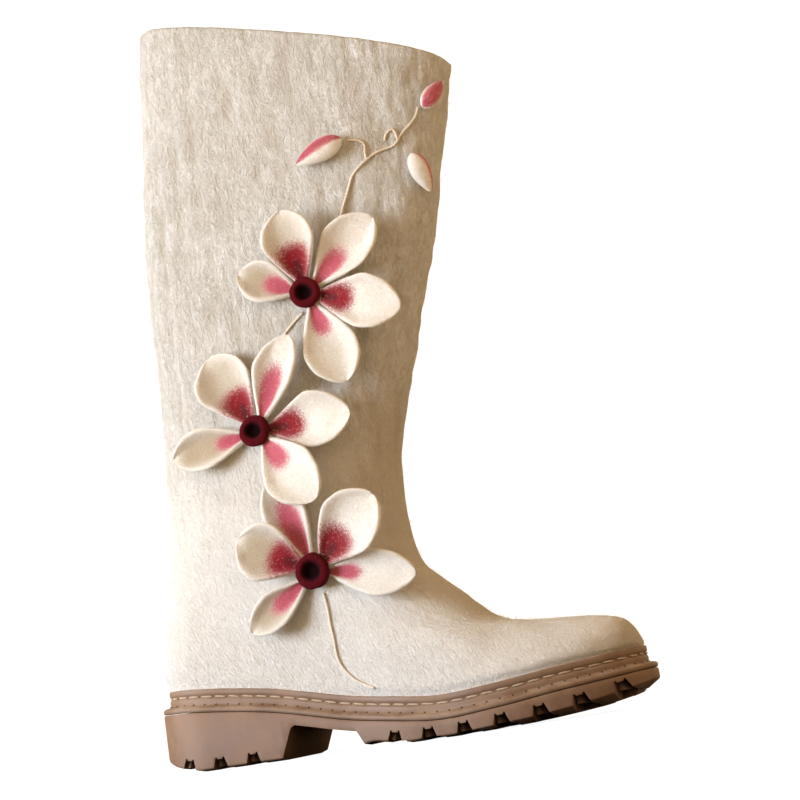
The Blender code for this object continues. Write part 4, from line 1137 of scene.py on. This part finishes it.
def hair_shape():
    """One wool hair, one long and curved, as three narrow faces."""
    if "hair_shape" not in bpy.data.objects:
        mesh = bpy.data.meshes.new("hair_shape")
        places = ((-0.5, 0, 0), (0.5, 0, 0), (-0.4, 0.10, 0.40), (0.4, 0.10, 0.40),
                  (-0.25, 0.34, 0.74), (0.25, 0.34, 0.74), (0, 0.66, 0.92))
        mesh.from_pydata(places, [], [(0, 1, 3, 2), (2, 3, 5, 4), (4, 5, 6)])
        hair = bpy.data.objects.new("hair_shape", mesh)
        hair.hide_render = True
    return bpy.data.objects["hair_shape"]


# Felt boot

def fine_rings(rings, step):
    """Rings at an even step, on smooth curves through the given ones."""
    gaps = np.linalg.norm(np.diff(rings, axis=0), axis=2).mean(axis=1)
    at = np.concatenate([[0], np.cumsum(gaps)])
    return smooth_through(at, rings, np.linspace(0, at[-1], int(at[-1] / step) + 1))


def felt_relief(points, normals):
    """How far the felt swells or sinks with lumps, ridges and creases, and the painted shade that darkens
    its valleys and the instep.
    """
    flat, face = points.reshape(-1, 3), normals.reshape(-1, 3)
    z = flat[:, 2]
    leg = smooth_step(z, *LEG_RELIEF)
    ridges = noise_of("ridges", flat) + noise_of("small_ridges", flat)
    foot = noise_of("foot", flat) + noise_of("foot_waves", flat)
    drift = noise_of("crease_drift", flat)[:, None] * (0, 0, 1)
    creases = np.abs(noise_of("creases", flat + drift))
    ankle = smooth_step(z, *CREASE_START) * (1 - smooth_step(z, *CREASE_END))
    behind = smooth_step(-face[:, 0], -0.35, 0.35)
    move = noise_of("lumps", flat) + leg * ridges + (1 - leg) * foot - ankle * behind * creases
    above = z - band_top(flat[:, 0])
    low = smooth_step(above, *RELIEF_START)
    hem = smooth_step(above, *HEM_START) * (1 - smooth_step(above, *HEM_END)) * HEM_SWELL
    # painted shade in the leg's valleys, and over the instep where it turns from the light
    valley = smooth_step(-ridges, *VALLEY_DEPTH) * leg * VALLEY_SHADE
    valley += smooth_step(face[:, 0], *FRONT_TURN) * (1 - smooth_step(z, *FRONT_TOP)) * FRONT_SHADE
    return (move * low + hem).reshape(points.shape[:2]), valley.reshape(points.shape[:2])


def make_upper(look):
    """The felt shell: outer face with its relief, rounded rim and lining."""
    places = even_points(FINE_LOOP, FELT_HALF)
    plain = fine_rings(felt_rings(places), FELT_STEP)
    normal = ring_normals(plain)
    relief, painted_shading = felt_relief(plain, normal)
    outer = plain + normal * relief[:, :, None]
    inward = lining_rings(plain)
    rim = [outer[-1] * (1 - across) + inward[-1] * across
           + np.array([0, 0, math.sin(math.pi * across) * FELT_WALL * RIM_BULGE])
           for across in RIM_STEPS]
    inner = inward[::-LINING_STEP]
    stack = np.concatenate([outer, rim, inner])
    faces = wall_faces(*stack.shape[:2])
    drift = noise_of("shade_drift", stack.reshape(-1, 3)).reshape(stack.shape[:2])
    leg = smooth_step(stack[:, :, 2] + drift, *LEG_SHADE)
    valley = np.zeros(stack.shape[:2])
    valley[:len(painted_shading)] = painted_shading
    marks = {"leg": leg, "valley": valley}
    piece = add_piece("felt_upper", stack, faces, look, "felt", ["upper"], marks)
    return piece, outer


class Felt:
    """The finished felt's outer face, as something that flowers and stems are laid on."""

    def __init__(self, outer):
        rows, columns = outer.shape[:2]
        self.tree = BVHTree.FromPolygons([Vector(point) for point in outer.reshape(-1, 3)],
                                         grid_faces(rows, columns))
        back = FELT_INSET + ANKLE_SETBACK
        self.ankle_x = back + ANKLE_LENGTH / 2
        self.rim_x = back + SHAFT_LEAN + COLLAR_LENGTH / 2

    def place(self, turn, up):
        """Point and outward normal of the felt at a turn round the shaft and a height."""
        z = up * SHAFT_HEIGHT
        climb = (z - ANKLE_HEIGHT) / (SHAFT_HEIGHT - ANKLE_HEIGHT)
        middle = Vector((self.ankle_x + (self.rim_x - self.ankle_x) * climb, 0, z))
        angle = math.radians(turn)
        outside = Vector((math.sin(angle), -math.cos(angle), 0))
        point = self.tree.ray_cast(middle + outside * SOLE_LENGTH * 2, -outside)[0]
        around = Vector((0, 0, 0))
        for aside in (-0.006, 0, 0.006):
            for above in (-0.006, 0, 0.006):
                start = middle + outside * SOLE_LENGTH * 2 + Vector((0, 0, above))
                start += outside.cross(Vector((0, 0, 1))) * aside
                found = self.tree.ray_cast(start, -outside)[1]
                around += found if found.dot(outside) > 0 else -found
        return point, around.normalized()

    def height(self, point, normal):
        """How far the felt stands above a plane through the point, along the normal."""
        hit = self.tree.ray_cast(point + normal * PETAL_LENGTH, -normal, 2 * PETAL_LENGTH)
        return PETAL_LENGTH - hit[3] if hit[0] else -PETAL_LENGTH


def flat_frame(normal):
    """Directions across and up on the felt at a normal."""
    up = Vector((0, 0, 1))
    up = (up - normal * up.dot(normal)).normalized()
    return up.cross(normal), up


# Flowers

def make_petal(name, felt, centre, normal, values, seed, look, node):
    """A cupped petal of thick felt with a rolled rim, stained at its root."""
    across, up = flat_frame(normal)
    angle = math.radians(values["angle"])
    ahead = across * math.cos(angle) + up * math.sin(angle)
    aside = normal.cross(ahead)
    length = PETAL_LENGTH * values["length"] - PETAL_START
    along = (1 - np.cos(np.linspace(0, math.pi, PETAL_ROWS))) / 2
    over = -np.cos(np.linspace(0, math.pi, PETAL_COLUMNS))
    middle = np.zeros((PETAL_ROWS, PETAL_COLUMNS, 3))
    slope = math.tan(math.radians(values["rise"]))
    for i, share in enumerate(along):
        half = float(curve(PETAL_SHAPE, "half", share)) * PETAL_WIDTH / 2 * values["width"]
        reach = PETAL_START + share * length
        for j, side in enumerate(over):
            wave = noise.noise((share * 2.6 + seed, side * 1.3, seed * 0.37))
            flat = centre + ahead * reach + aside * (half * side * (1 + EDGE_WAVE * wave))
            rise = reach * slope * (1 - PETAL_LEVELLING * share)
            rise += (PETAL_CUP * values["cup"] * half * abs(side) ** CUP_POWER * CUP_GAIN
                     * (1 - CUP_FADE * share ** 5))
            rise += values["roll"] * half * side * smooth_step(share, *ROLL_START) * ROLL_GAIN
            rise += values["curl"] * length * float(share) ** 3 * CURL_GAIN
            rise += wave * FACE_WAVE * smooth_step(share, *WAVE_START)
            seat = felt.height(flat, normal) + CLEARANCE
            middle[i, j] = flat + normal * (max(rise, seat) + PETAL_THICKNESS / 2)
    faced = np.cross(np.gradient(middle, axis=0), np.gradient(middle, axis=1))
    faced /= np.maximum(np.linalg.norm(faced, axis=2, keepdims=True), 1e-12)
    if (faced @ np.array(normal)).sum() < 0:
        faced = -faced
    thick = PETAL_THICKNESS / 2 * (MIDDLE_SHARE + RIM_SHARE * np.abs(over) ** 4)[None, :]
    thick = thick * np.sqrt(np.clip(1 - np.abs(over) ** 9, 0, 1))[None, :]
    thick = thick * np.sqrt(np.clip(1 - along ** 14, TIP_SHARE, 1))[:, None]
    top, under = middle + faced * thick[:, :, None], middle - faced * thick[:, :, None]
    loops = np.concatenate([top, under[:, -2:0:-1]], axis=1)
    marks_over = np.concatenate([over, over[-2:0:-1]])
    flat_loops = loops.reshape(-1, 3)
    bumps = sum(cloud(flat_loops, (fineness,) * 3, seed + shift) * height
                for fineness, shift, height in PETAL_BUMPS)
    pushed = np.concatenate([faced, -faced[:, -2:0:-1]], axis=1).reshape(-1, 3)
    flat_loops = flat_loops + pushed * bumps[:, None]
    spot = values["spot"]
    reach = np.repeat(along[:, None], loops.shape[1], axis=1)
    width = STAIN_WIDTH + STAIN_SPREAD * values["tone"]
    far = np.sqrt((reach / spot) ** 4 + (marks_over[None, :] / width) ** 2
                  * (STAIN_FOOT + (1 - STAIN_FOOT) * reach / spot))
    below = np.concatenate([np.zeros(len(over)), np.ones(len(over) - 2)])[None, :]
    rose = np.clip(STAIN_REACH - far, -1, 1) - below
    # painted shade: cups that point away from the light go towards brown
    cup_shade_share = min(1.0, max(0.0, CUP_SHADE * (CUP_TURN - math.cos(angle))))
    cup = (1 - np.abs(marks_over[None, :]) ** 3) * smooth_step(1 - reach ** 4, 0, 0.6) * cup_shade_share
    marks = {"rose": rose, "tone": np.full(rose.shape, values["tone"]), "cup": cup}
    return add_piece(name, flat_loops, shell_faces(*loops.shape[:2]), look, "petal_felt", [node], marks)


def make_heart(name, centre, normal, size, look, node):
    """The rolled heart of a flower: a turned button with a deep dimple."""
    steps = np.linspace(0, HEART_SHAPE["step"][-1], HEART_RINGS)
    radius = curve(HEART_SHAPE, "radius", steps, "step") * HEART_RADIUS * size
    height = CLEARANCE + curve(HEART_SHAPE, "height", steps, "step") * HEART_HEIGHT
    turn = np.linspace(0, math.tau, HEART_COLUMNS, endpoint=False)
    sideways = normal.cross(Vector((0, 0, 1))).normalized()
    upward = normal.cross(sideways)
    ring = np.outer(np.cos(turn), sideways) + np.outer(np.sin(turn), upward)
    radius = np.maximum(radius, POLE_RADIUS)
    points = (np.array(centre) + radius[:, None, None] * ring[None] +
              (height[:, None, None] * np.array(normal)))
    fineness, height = HEART_LUMPS
    lumps = cloud(points.reshape(-1, 3), (fineness,) * 3, size).reshape(points.shape[:2])
    points = points + ring[None] * (lumps * height)[:, :, None]
    # painted shade that darkens the dimple
    hole = 1 - smooth_step(steps, *DIMPLE)
    marks = {"hole": np.repeat(hole[:, None], len(turn), axis=1)}
    return add_piece(name, points, shell_faces(*points.shape[:2]), look, "heart_felt", [node], marks)


def make_bud(name, felt, stalk, tip, width, seam, rose_width, look, node):
    """A closed bud: an almond of felt with one petal wrapped round it."""
    base, end = felt.place(*stalk)[0], felt.place(*tip)[0]
    point, normal = felt.place((stalk[0] + tip[0]) / 2, (stalk[1] + tip[1]) / 2)
    length = (end - base).length
    ahead = (end - base - normal * (end - base).dot(normal)).normalized()
    aside = normal.cross(ahead)
    radius = BUD_WIDTH * width / 2
    along = (1 - np.cos(np.linspace(0, math.pi, BUD_ROWS))) / 2
    turn = np.radians(np.linspace(seam + 4, seam + 356, BUD_COLUMNS))
    belly, fullness, thinning = BUD_ALMOND
    almond = np.sin(math.pi * along ** belly) ** fullness * (1 - thinning * along)
    wrap = np.linspace(*BUD_WRAP, len(turn))
    wrap[-1] = BUD_LIP
    over = radius * almond[:, None] * wrap[None, :]
    over = np.maximum(over, BUD_POLE)
    centre_line = np.array(point)[None] + np.outer((along - 0.5) * length, ahead)
    points = (centre_line[:, None] + (over * np.cos(turn))[:, :, None] * np.array(aside)
              + (over * np.sin(turn) * BUD_FLATNESS)[:, :, None] * np.array(normal))
    lift = radius * BUD_FLATNESS
    points = points + np.array(normal) * lift
    lowest = min(-felt.height(Vector(place), normal) for place in points[::4, ::3].reshape(-1, 3))
    points = points + np.array(normal) * (CLEARANCE - min(lowest, lift))
    fineness, height = BUD_LUMPS
    lumps = cloud(points.reshape(-1, 3), (fineness,) * 3, radius * 900).reshape(points.shape[:2])
    points = points + np.array(normal) * (lumps * height)[:, :, None]
    from_seam = np.minimum(np.arange(len(turn)), len(turn) - 1 - np.arange(len(turn))) / len(turn)
    at_seam, fading, tip_rose = BUD_ROSE
    rose = at_seam - from_seam[None, :] * fading / rose_width + tip_rose * (along[:, None] - 0.5)
    marks = {"rose": rose, "tone": np.full(rose.shape, BUD_TONE)}
    return add_piece(name, points, shell_faces(*points.shape[:2]), look, "petal_felt", [node], marks)


def make_stem(name, felt, places, look, node):
    """A cord of two twisted yarns, lying on the felt along its places."""
    rows = {"step": np.arange(len(places), dtype=float),
            "turn": np.array([place[0] for place in places]),
            "up": np.array([place[1] for place in places])}
    path = []
    for step in np.linspace(0, len(places) - 1, 24 * len(places)):
        turn, up = (float(curve(rows, column, step, along="step")) for column in ("turn", "up"))
        point, normal = felt.place(turn, up)
        path.append((*(point + normal * (STEM_RADIUS * STEM_LIFT)), *normal))
    path = np.array(path)
    length = np.concatenate([[0], np.cumsum(np.linalg.norm(np.diff(path[:, :3], axis=0), axis=1))])
    even = np.linspace(0, length[-1], int(length[-1] / STEM_STEP))
    path = np.stack([np.interp(even, length, path[:, k]) for k in range(6)], axis=1)
    for _ in range(STEM_PASSES):
        path[1:-1] = (path[:-2] + 2 * path[1:-1] + path[2:]) / 4
    line, normal = path[:, :3], path[:, 3:]
    tangent = unit(np.gradient(line, axis=0))
    side = unit(np.cross(tangent, normal))
    above = np.cross(side, tangent)
    turn = np.linspace(0, math.tau, STEM_COLUMNS, endpoint=False)
    twist = even[:, None] / STEM_TWIST * math.tau
    radius = STEM_RADIUS * (STEM_PLIES[0] + STEM_PLIES[1] * np.cos(2 * (turn[None, :] - twist)))
    radius = radius * (STEM_WOOL[0] + STEM_WOOL[1] * cloud(line, (400, 400, 400))[:, None])
    radius[[0, -1]] *= STEM_END
    points = (line[:, None] + (radius * np.cos(turn))[:, :, None] * side[:, None]
              + (radius * np.sin(turn))[:, :, None] * above[:, None])
    return add_piece(name, points, shell_faces(*points.shape[:2]), look, "stem_felt", [node])


def make_flowers(felt, looks):
    """All flowers, buds and stems."""
    made = []
    for name, (turn, up, size) in FLOWERS.items():
        centre, normal = felt.place(turn, up)
        petals = PETALS[name]
        for i in range(len(petals["angle"])):
            values = {column: float(petals[column][i]) for column in petals}
            node = f"petal_{name}_{i + 1}"
            own_seed = i * 1.7 + turn * 0.13 + 2
            made.append(make_petal(f"felt_{node}", felt, centre, normal, values, own_seed,
                                   looks["petal"], node))
        make_heart(f"rolled_heart_{name}", centre, normal, size, looks["heart"], f"heart_{name}")
    for name, (stalk, tip, width, seam, rose) in BUDS.items():
        made.append(make_bud(f"felt_bud_{name}", felt, stalk, tip, width, seam, rose, looks["petal"],
                             f"bud_{name}"))
    for name, places in STEMS.items():
        before, after = STEM_JOINS.get(name, ((), ()))
        places = (*before, *places, *after)
        make_stem(f"yarn_stem_{name}", felt, places, looks["yarn"], f"stem_{name}")
    return made


# Sole and side band

def prism(build, profile, start, end, skew=0.0):
    """Add a prism: a profile in x and z, run from one y to another, its far end moved along x."""
    near = [build.verts.new((x, start, z)) for x, z in profile]
    far = [build.verts.new((x + skew, end, z)) for x, z in profile]
    build.faces.new(near)
    build.faces.new(far[::-1])
    for i in range(len(profile)):
        j = (i + 1) % len(profile)
        build.faces.new((near[j], near[i], far[i], far[j]))


def gap_places():
    """Every gap between lugs: x and side."""
    first = FIRST_GAP * SOLE_LENGTH
    places = []
    for i in range(LUG_ROWS):
        places.append((first + i * LUG_PITCH, -1))
        if i < LUG_ROWS - 1:
            places.append((first + (i + 0.5) * LUG_PITCH, 1))
    for i in range(HEEL_LUG_ROWS):
        x = HEEL_LENGTH - LUG_PITCH * (i + HEEL_GAP_START)
        places += [(x, -1), (x + LUG_PITCH * HEEL_GAP_SHIFT, 1)]
    return places


def turned_profile(x, shape_across, shape_up):
    """A profile set on the tread's edge at some x, square to the tread there."""
    slope = math.atan2(float(tread_edge(x + SLOPE_REACH) - tread_edge(x - SLOPE_REACH)), 2 * SLOPE_REACH)
    foot = float(tread_edge(x))
    return np.array([(x + a * math.cos(slope) - u * math.sin(slope),
                      foot + a * math.sin(slope) + u * math.cos(slope))
                     for a, u in zip(shape_across, shape_up)])


def edge_y(x, side):
    return float(felt_side(x, side > 0, 0))


def finish_mesh(name, build):
    bmesh.ops.recalc_face_normals(build, faces=build.faces)
    mesh = bpy.data.meshes.new(name)
    build.to_mesh(mesh)
    build.free()
    return mesh


def tread_cutters():
    """The arch and the gaps between the lugs."""
    build = bmesh.new()
    head = HEEL_LENGTH + BREAST_SLOPE
    ramp_x = ARCH_END * SOLE_LENGTH
    under = [(x, float(sole_top(x)) - SHANK_THICKNESS)
             for x in np.linspace(head + ARCH_ROUNDING, ramp_x - 2 * ARCH_ROUNDING, 14)]
    arch = [(HEEL_LENGTH - ARCH_ROUNDING / 3, -ARCH_ROUNDING),
            (head - ARCH_SOFTNESS, under[0][1] - ARCH_ROUNDING),
            (head + ARCH_SOFTNESS, under[0][1] - ARCH_ROUNDING * ARCH_DROP), *under,
            (ramp_x + ARCH_ROUNDING / 3, -ARCH_ROUNDING)]
    prism(build, arch, -BALL_WIDTH, BALL_WIDTH)
    for x, side in gap_places():
        profile = turned_profile(x, GAP_SHAPE["across"] * LUG_GAP / 2, GAP_SHAPE["deep"] * LUG_DEPTH)
        here, across = edge_y(x, side), edge_y(x, -side)
        prism(build, profile, side * BALL_WIDTH, here + (across - here) * LUG_REACH)
    return finish_mesh("tread_cutters", build)


def groove_cutters():
    """Shallow grooves across the whole tread, between the rows of lugs."""
    build = bmesh.new()
    for i in range(LUG_ROWS):
        x = FIRST_GAP * SOLE_LENGTH + (i + GROOVE_SHIFT) * LUG_PITCH
        low = float(underside(x))
        profile = [(x + across, low + rise) for across, rise in GROOVE_SECTION]
        prism(build, profile, -BALL_WIDTH, BALL_WIDTH)
    return finish_mesh("groove_cutters", build)


def tread_ribs():
    """Slanting ribs that stand inside the gaps, as separate closed bodies."""
    build = bmesh.new()
    for x, side in gap_places():
        here, across = edge_y(x, side), edge_y(x, -side)
        inward = (across - here) / abs(across - here)
        for start, end, skew, low in RIBS:
            half = LUG_GAP * RIB_HALF
            across_rib = np.array((-half, -half * RIB_TAPER, half * RIB_TAPER, half))
            up_rib = np.array((RIB_ROOT, low, low, RIB_ROOT)) * LUG_DEPTH
            shape = turned_profile(x - skew / 2, across_rib, up_rib)
            prism(build, shape, here + inward * start, here + inward * end, skew)
    return build


def edge_height(rise):
    """Height of a ring over the tread's edge."""
    return lambda x: tread_edge(x) + rise


def groove_height(drop):
    """Height of a ring in the parting groove, which lies round the sole's top."""
    return lambda x: sole_top(x) - drop * PARTING_GROOVE


def wall_height(rise):
    """Height of a ring in the sole's wall, over the gaps and below the parting groove."""
    return lambda x: np.minimum(tread_edge(x) + rise * LUG_DEPTH,
                                sole_top(x) - (WALL_TOP + WALL_SPREAD / rise) * PARTING_GROOVE)


def make_sole(look):
    """The rubber unit with its lugs, gaps, ribs and grooves."""
    places = even_points(FINE_LOOP, SOLE_HALF)
    levels = [(EDGE_SLOPE, underside),
              *((inset, edge_height(rise)) for inset, rise in TREAD_ROUNDING),
              *((0, wall_height(rise)) for rise in WALL_RINGS),
              *((inset * PARTING_GROOVE, groove_height(drop)) for inset, drop in PARTING_RINGS)]
    rings = np.array([np.column_stack([outline(inset, places), height(outline(inset, places)[:, 0])])
                      for inset, height in levels])
    count = rings.shape[1]
    faces = grid_faces(len(rings), count)
    for first in (0, (len(rings) - 1) * count):
        for i in range(count // 2):
            corners = (first + i, first + i + 1, first + (count - i - 1) % count,
                       first + (count - i) % count)
            faces.append(tuple(dict.fromkeys(corners)))
    mesh = bpy.data.meshes.new("tread_unit")
    mesh.from_pydata(rings.reshape(-1, 3).tolist(), [], faces)
    build = bmesh.new()
    build.from_mesh(mesh)
    mesh = finish_mesh("tread_unit", build)
    sole = bpy.data.objects.new("sole_unit", mesh)
    bpy.context.scene.collection.objects.link(sole)
    knives = []
    for knife_mesh in (tread_cutters(), groove_cutters()):
        knife = bpy.data.objects.new(knife_mesh.name, knife_mesh)
        bpy.context.scene.collection.objects.link(knife)
        cut = sole.modifiers.new(knife_mesh.name, "BOOLEAN")
        cut.object, cut.operation, cut.solver = knife, "DIFFERENCE", "EXACT"
        knives.append(knife)
    soft = sole.modifiers.new("soft_edges", "BEVEL")
    soft.width, soft.segments, soft.limit_method = SOFT_EDGE, 2, "ANGLE"
    soft.angle_limit = math.radians(SOFT_ANGLE)
    graph = bpy.context.evaluated_depsgraph_get()
    cut_mesh = bpy.data.meshes.new_from_object(sole.evaluated_get(graph), depsgraph=graph)
    for leftover in (sole, *knives):
        bpy.data.objects.remove(leftover)
    ribs = tread_ribs()
    ribs.from_mesh(cut_mesh)
    whole = finish_mesh("sole_unit", ribs)
    whole.transform(Matrix.Translation((-ORIGIN_X, 0, 0)))
    return finish_piece(bpy.data.objects.new("sole_unit", whole), look, "tan_rubber", ["outsole"], 30)


def band_height(rise):
    """Height of a line of the side band, over the band's own foot."""
    return lambda x: sole_top(x) + CLEARANCE + rise


def make_band(look):
    """The side band: rolled top edge, seam groove, and the bead at its foot."""
    inner, step, top, foot = BAND_STEP + BAND_WALL, BAND_STEP, BAND_HEIGHT, BAND_FOOT
    seam = top - STITCH_DROP
    # Point by point, inwards from the sole's edge and up: the inner face, the rolled top edge,
    # the seam's groove, the plain wall, the bead and the foot.
    profile = [(inner, 0), (inner, top - 0.0003), (inner - 0.0003, top), (step + 0.0007, top),
               (step + 0.0002, top - 0.0002), (step, top - 0.0007), (step - 0.0001, seam + 0.0017),
               (step + 0.0002, seam + 0.0010), (step + 0.0008, seam + 0.0004),
               (step + 0.0008, seam - 0.0004), (step + 0.0002, seam - 0.0010),
               (step - 0.0001, seam - 0.0016), (step - 0.0002, (seam + foot) / 2),
               (step, foot + 0.0012), (step - 0.0007, foot + 0.0004), (step * 0.45, foot + 0.0001),
               (step * 0.14, foot * 0.86), (0.0, foot * 0.62), (0.0, foot * 0.36),
               (0.0002, foot * 0.12), (0.0006, 0.00005), (step * 0.3, 0)]
    places = even_points(FINE_LOOP, BAND_HALF)
    rings = []
    for inset, rise in profile:
        loop = outline(inset, places)
        rings.append(np.column_stack([loop, band_height(rise)(loop[:, 0])]))
    faces = wall_faces(len(rings), len(places))
    return add_piece("rubber_side_band", rings, faces, look, "band_rubber", ["side_band"], sharp=50)


def seam_line(name, inset, rise):
    """A closed line round the boot, as a mesh of edges."""
    loop = outline(inset, even_points(FINE_LOOP, BAND_HALF))
    points = np.column_stack([loop, band_height(rise)(loop[:, 0])]) - (ORIGIN_X, 0, 0)
    mesh = bpy.data.meshes.new(name)
    count = len(points)
    mesh.from_pydata(points.tolist(), [(i, (i + 1) % count) for i in range(count)], [])
    return mesh


def make_seam(looks):
    """The stitches in the band's groove, and the row of pricks under them."""
    rows = (("band_stitches", looks["thread"], BAND_STEP + 0.0004, BAND_HEIGHT - STITCH_DROP, True,
             {"Pitch": STITCH_PITCH, "Length": STITCH_LENGTH, "Thickness": STITCH_THICKNESS,
              "Slant": 0.05, "Unevenness": 0.05, "Seed": 4}),
            ("band_pricks", looks["prick"], BAND_STEP - 0.0001, BAND_HEIGHT - PRICK_DROP, False,
             {"Pitch": PRICK_PITCH, "Length": PRICK_SIZE, "Thickness": PRICK_SIZE, "Slant": 0.0,
              "Unevenness": 0.3, "Seed": 9}))
    for name, look, inset, rise, lengthwise, sizes in rows:
        tree = row_tree(name + "_tree", look, lengthwise)
        mesh = grown_mesh(name, seam_line(name + "_line", inset, rise), tree, sizes)
        finish_piece(bpy.data.objects.new(name, mesh), look, "band_rubber")


def make_fuzz(upper, outer_rows, petals, look):
    """Loose hairs over the felt and the petals, none on the lining or under the band's top."""
    tree = fuzz_tree(look)
    for name, sources, slot, sizes in (("boot_fuzz", [upper], "felt", BOOT_FUZZ),
                                       ("petal_fuzz", petals, "petal_felt", PETAL_FUZZ)):
        build = bmesh.new()
        for source in sources:
            build.from_mesh(source.data)
        if sources == [upper]:
            build.faces.ensure_lookup_table()
            inside = [face for face in build.faces if face.index >= outer_rows]
            bmesh.ops.delete(build, geom=inside, context="FACES")
        hidden = [face for face in build.faces
                  if sources == [upper] and face.calc_center_median().z
                  < float(band_top(face.calc_center_median().x + ORIGIN_X)) + FUZZ_START]
        bmesh.ops.delete(build, geom=hidden, context="FACES")
        base = bpy.data.meshes.new(name + "_ground")
        build.to_mesh(base)
        build.free()
        mesh = grown_mesh(name, base, tree, sizes)
        finish_piece(bpy.data.objects.new(name, mesh), look, slot)


# Room, light and camera

def make_room():
    """A pale floor that runs up into a backdrop."""
    made = bpy.data.materials.new("studio_paper")
    made.use_nodes = True
    tree = made.node_tree
    shader = tree.nodes["Principled BSDF"]
    shader.inputs["Roughness"].default_value = PAPER_ROUGHNESS
    shader.inputs["Base Color"].default_value = (*PAPER_COLOUR, 1)
    shader.inputs["Emission Color"].default_value = (1, 1, 1, 1)
    shader.inputs["Emission Strength"].default_value = PAPER_GLOW
    seen = put(tree, "ShaderNodeLightPath").outputs["Is Camera Ray"]
    # to all but camera rays the floor glows with the warm fill, dimmed round the boot as a painted shadow
    place = own_place(tree)
    from_boot = put(tree, "ShaderNodeVectorMath", {"operation": "DISTANCE"}, _0=place,
                    _1=(SOLE_LENGTH / 2 - ORIGIN_X, 0, 0)).outputs["Value"]
    glow = put(tree, "ShaderNodeEmission", Color=(*FILL_LIGHT, 1),
               Strength=ramp(tree, from_boot, *SHADE_REACH))
    both = put(tree, "ShaderNodeMixShader", _0=seen)
    tree.links.new(glow.outputs[0], both.inputs[1])
    tree.links.new(shader.outputs[0], both.inputs[2])
    tree.links.new(both.outputs[0], tree.nodes["Material Output"].inputs["Surface"])
    profile = [(SWEEP_FRONT, 0.0), (SWEEP_BACK, 0.0)]
    profile += [(SWEEP_BACK + math.sin(a) * SWEEP_BEND, SWEEP_BEND - math.cos(a) * SWEEP_BEND)
                for a in np.linspace(0.1, math.pi / 2, 12)]
    profile += [(SWEEP_BACK + SWEEP_BEND, SWEEP_TOP)]
    aim = Vector(CAMERA_TARGET) - Vector(CAMERA_PLACE)
    aim.z = 0
    aim.normalize()
    side = aim.cross(Vector((0, 0, 1)))
    points = [aim * y + side * x + Vector((0, 0, z)) for y, z in profile
              for x in (-SWEEP_HALF, SWEEP_HALF)]
    mesh = bpy.data.meshes.new("studio_sweep")
    mesh.from_pydata(points, [], grid_faces(len(profile), 2, closed=False))
    mesh.shade_smooth()
    sweep = bpy.data.objects.new("studio_sweep", mesh)
    mesh.materials.append(made)
    bpy.context.scene.collection.objects.link(sweep)


def make_light(name, towards, size, power, colour, distance):
    """A soft square light that points at the boot from a direction."""
    lamp = bpy.data.lights.new(name, "AREA")
    lamp.size, lamp.energy, lamp.color = size, power, colour
    holder = bpy.data.objects.new(name, lamp)
    direction = Vector(towards).normalized()
    holder.location = Vector(CAMERA_TARGET) + direction * distance
    holder.rotation_mode = "QUATERNION"
    holder.rotation_quaternion = direction.to_track_quat("Z", "Y")
    bpy.context.scene.collection.objects.link(holder)


def make_camera():
    """The camera, aimed at the boot's middle and turned on its own axis."""
    place, target = Vector(CAMERA_PLACE), Vector(CAMERA_TARGET)
    lens = bpy.data.cameras.new("photo_camera")
    lens.sensor_width = SENSOR_WIDTH
    lens.lens = CAMERA_LENS * CAMERA_ZOOM
    lens.clip_start, lens.clip_end = CAMERA_CLIP
    camera = bpy.data.objects.new("photo_camera", lens)
    camera.location = place
    camera.rotation_mode = "QUATERNION"
    camera.rotation_quaternion = ((place - target).to_track_quat("Z", "Y")
                                  @ Quaternion((0, 0, 1), math.radians(-CAMERA_ROLL)))
    bpy.context.scene.collection.objects.link(camera)
    bpy.context.scene.camera = camera


def light_room():
    """Soft daylight from the left, with a dim warm fill."""
    make_light("window", KEY_DIRECTION, KEY_SIZE, KEY_POWER, KEY_COLOUR, KEY_DISTANCE)
    world = bpy.data.worlds.new("room")
    bpy.context.scene.world = world
    world.use_nodes = True
    tree = world.node_tree
    backing = tree.nodes["Background"]
    backing.inputs["Color"].default_value = (*FILL_LIGHT, 1)
    bpy.context.scene.view_settings.view_transform = "Standard"


def main():
    """Make the finishes, the pieces, and what stands round them."""
    wool, rubber = felt_surface_group(), rubber_surface_group()
    looks = {
        "felt": leg_felt_look(wool),
        "petal": petal_look("petal_wool", wool),
        "heart": heart_look(wool),
        "yarn": thread_look("cream_yarn", CREAM_YARN, 500.0),
        "thread": thread_look("seam_thread", SEAM_THREAD, 900.0),
        "insole": felt_look("insole_wool", wool, INSOLE_WOOL, 600.0, 0.0008),
        "sole": rubber_look("sole_rubber", rubber, SOLE_RUBBER, 0.58, GAP_SHADE),
        "band": rubber_look("side_rubber", rubber, BAND_RUBBER, 0.54),
        # the pricks are near-black dots: painted shade of the holes
        "prick": rubber_look("prick_rubber", rubber, PRICK_SHADE, 0.7),
        "fuzz": felt_look("loose_wool", wool, LOOSE_WOOL, 300.0, 0.0001, 0.2),
    }
    upper, outer = make_upper(looks["felt"])
    petals = make_flowers(Felt(outer), looks)
    make_sole(looks["sole"])
    make_band(looks["band"])
    make_seam(looks)
    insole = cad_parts["insole"]
    insole.data.materials.clear()
    insole.data.materials.append(looks["insole"])
    make_fuzz(upper, (outer.shape[0] - 1) * outer.shape[1], petals, looks["fuzz"])
    make_room()
    make_camera()
    light_room()


main()
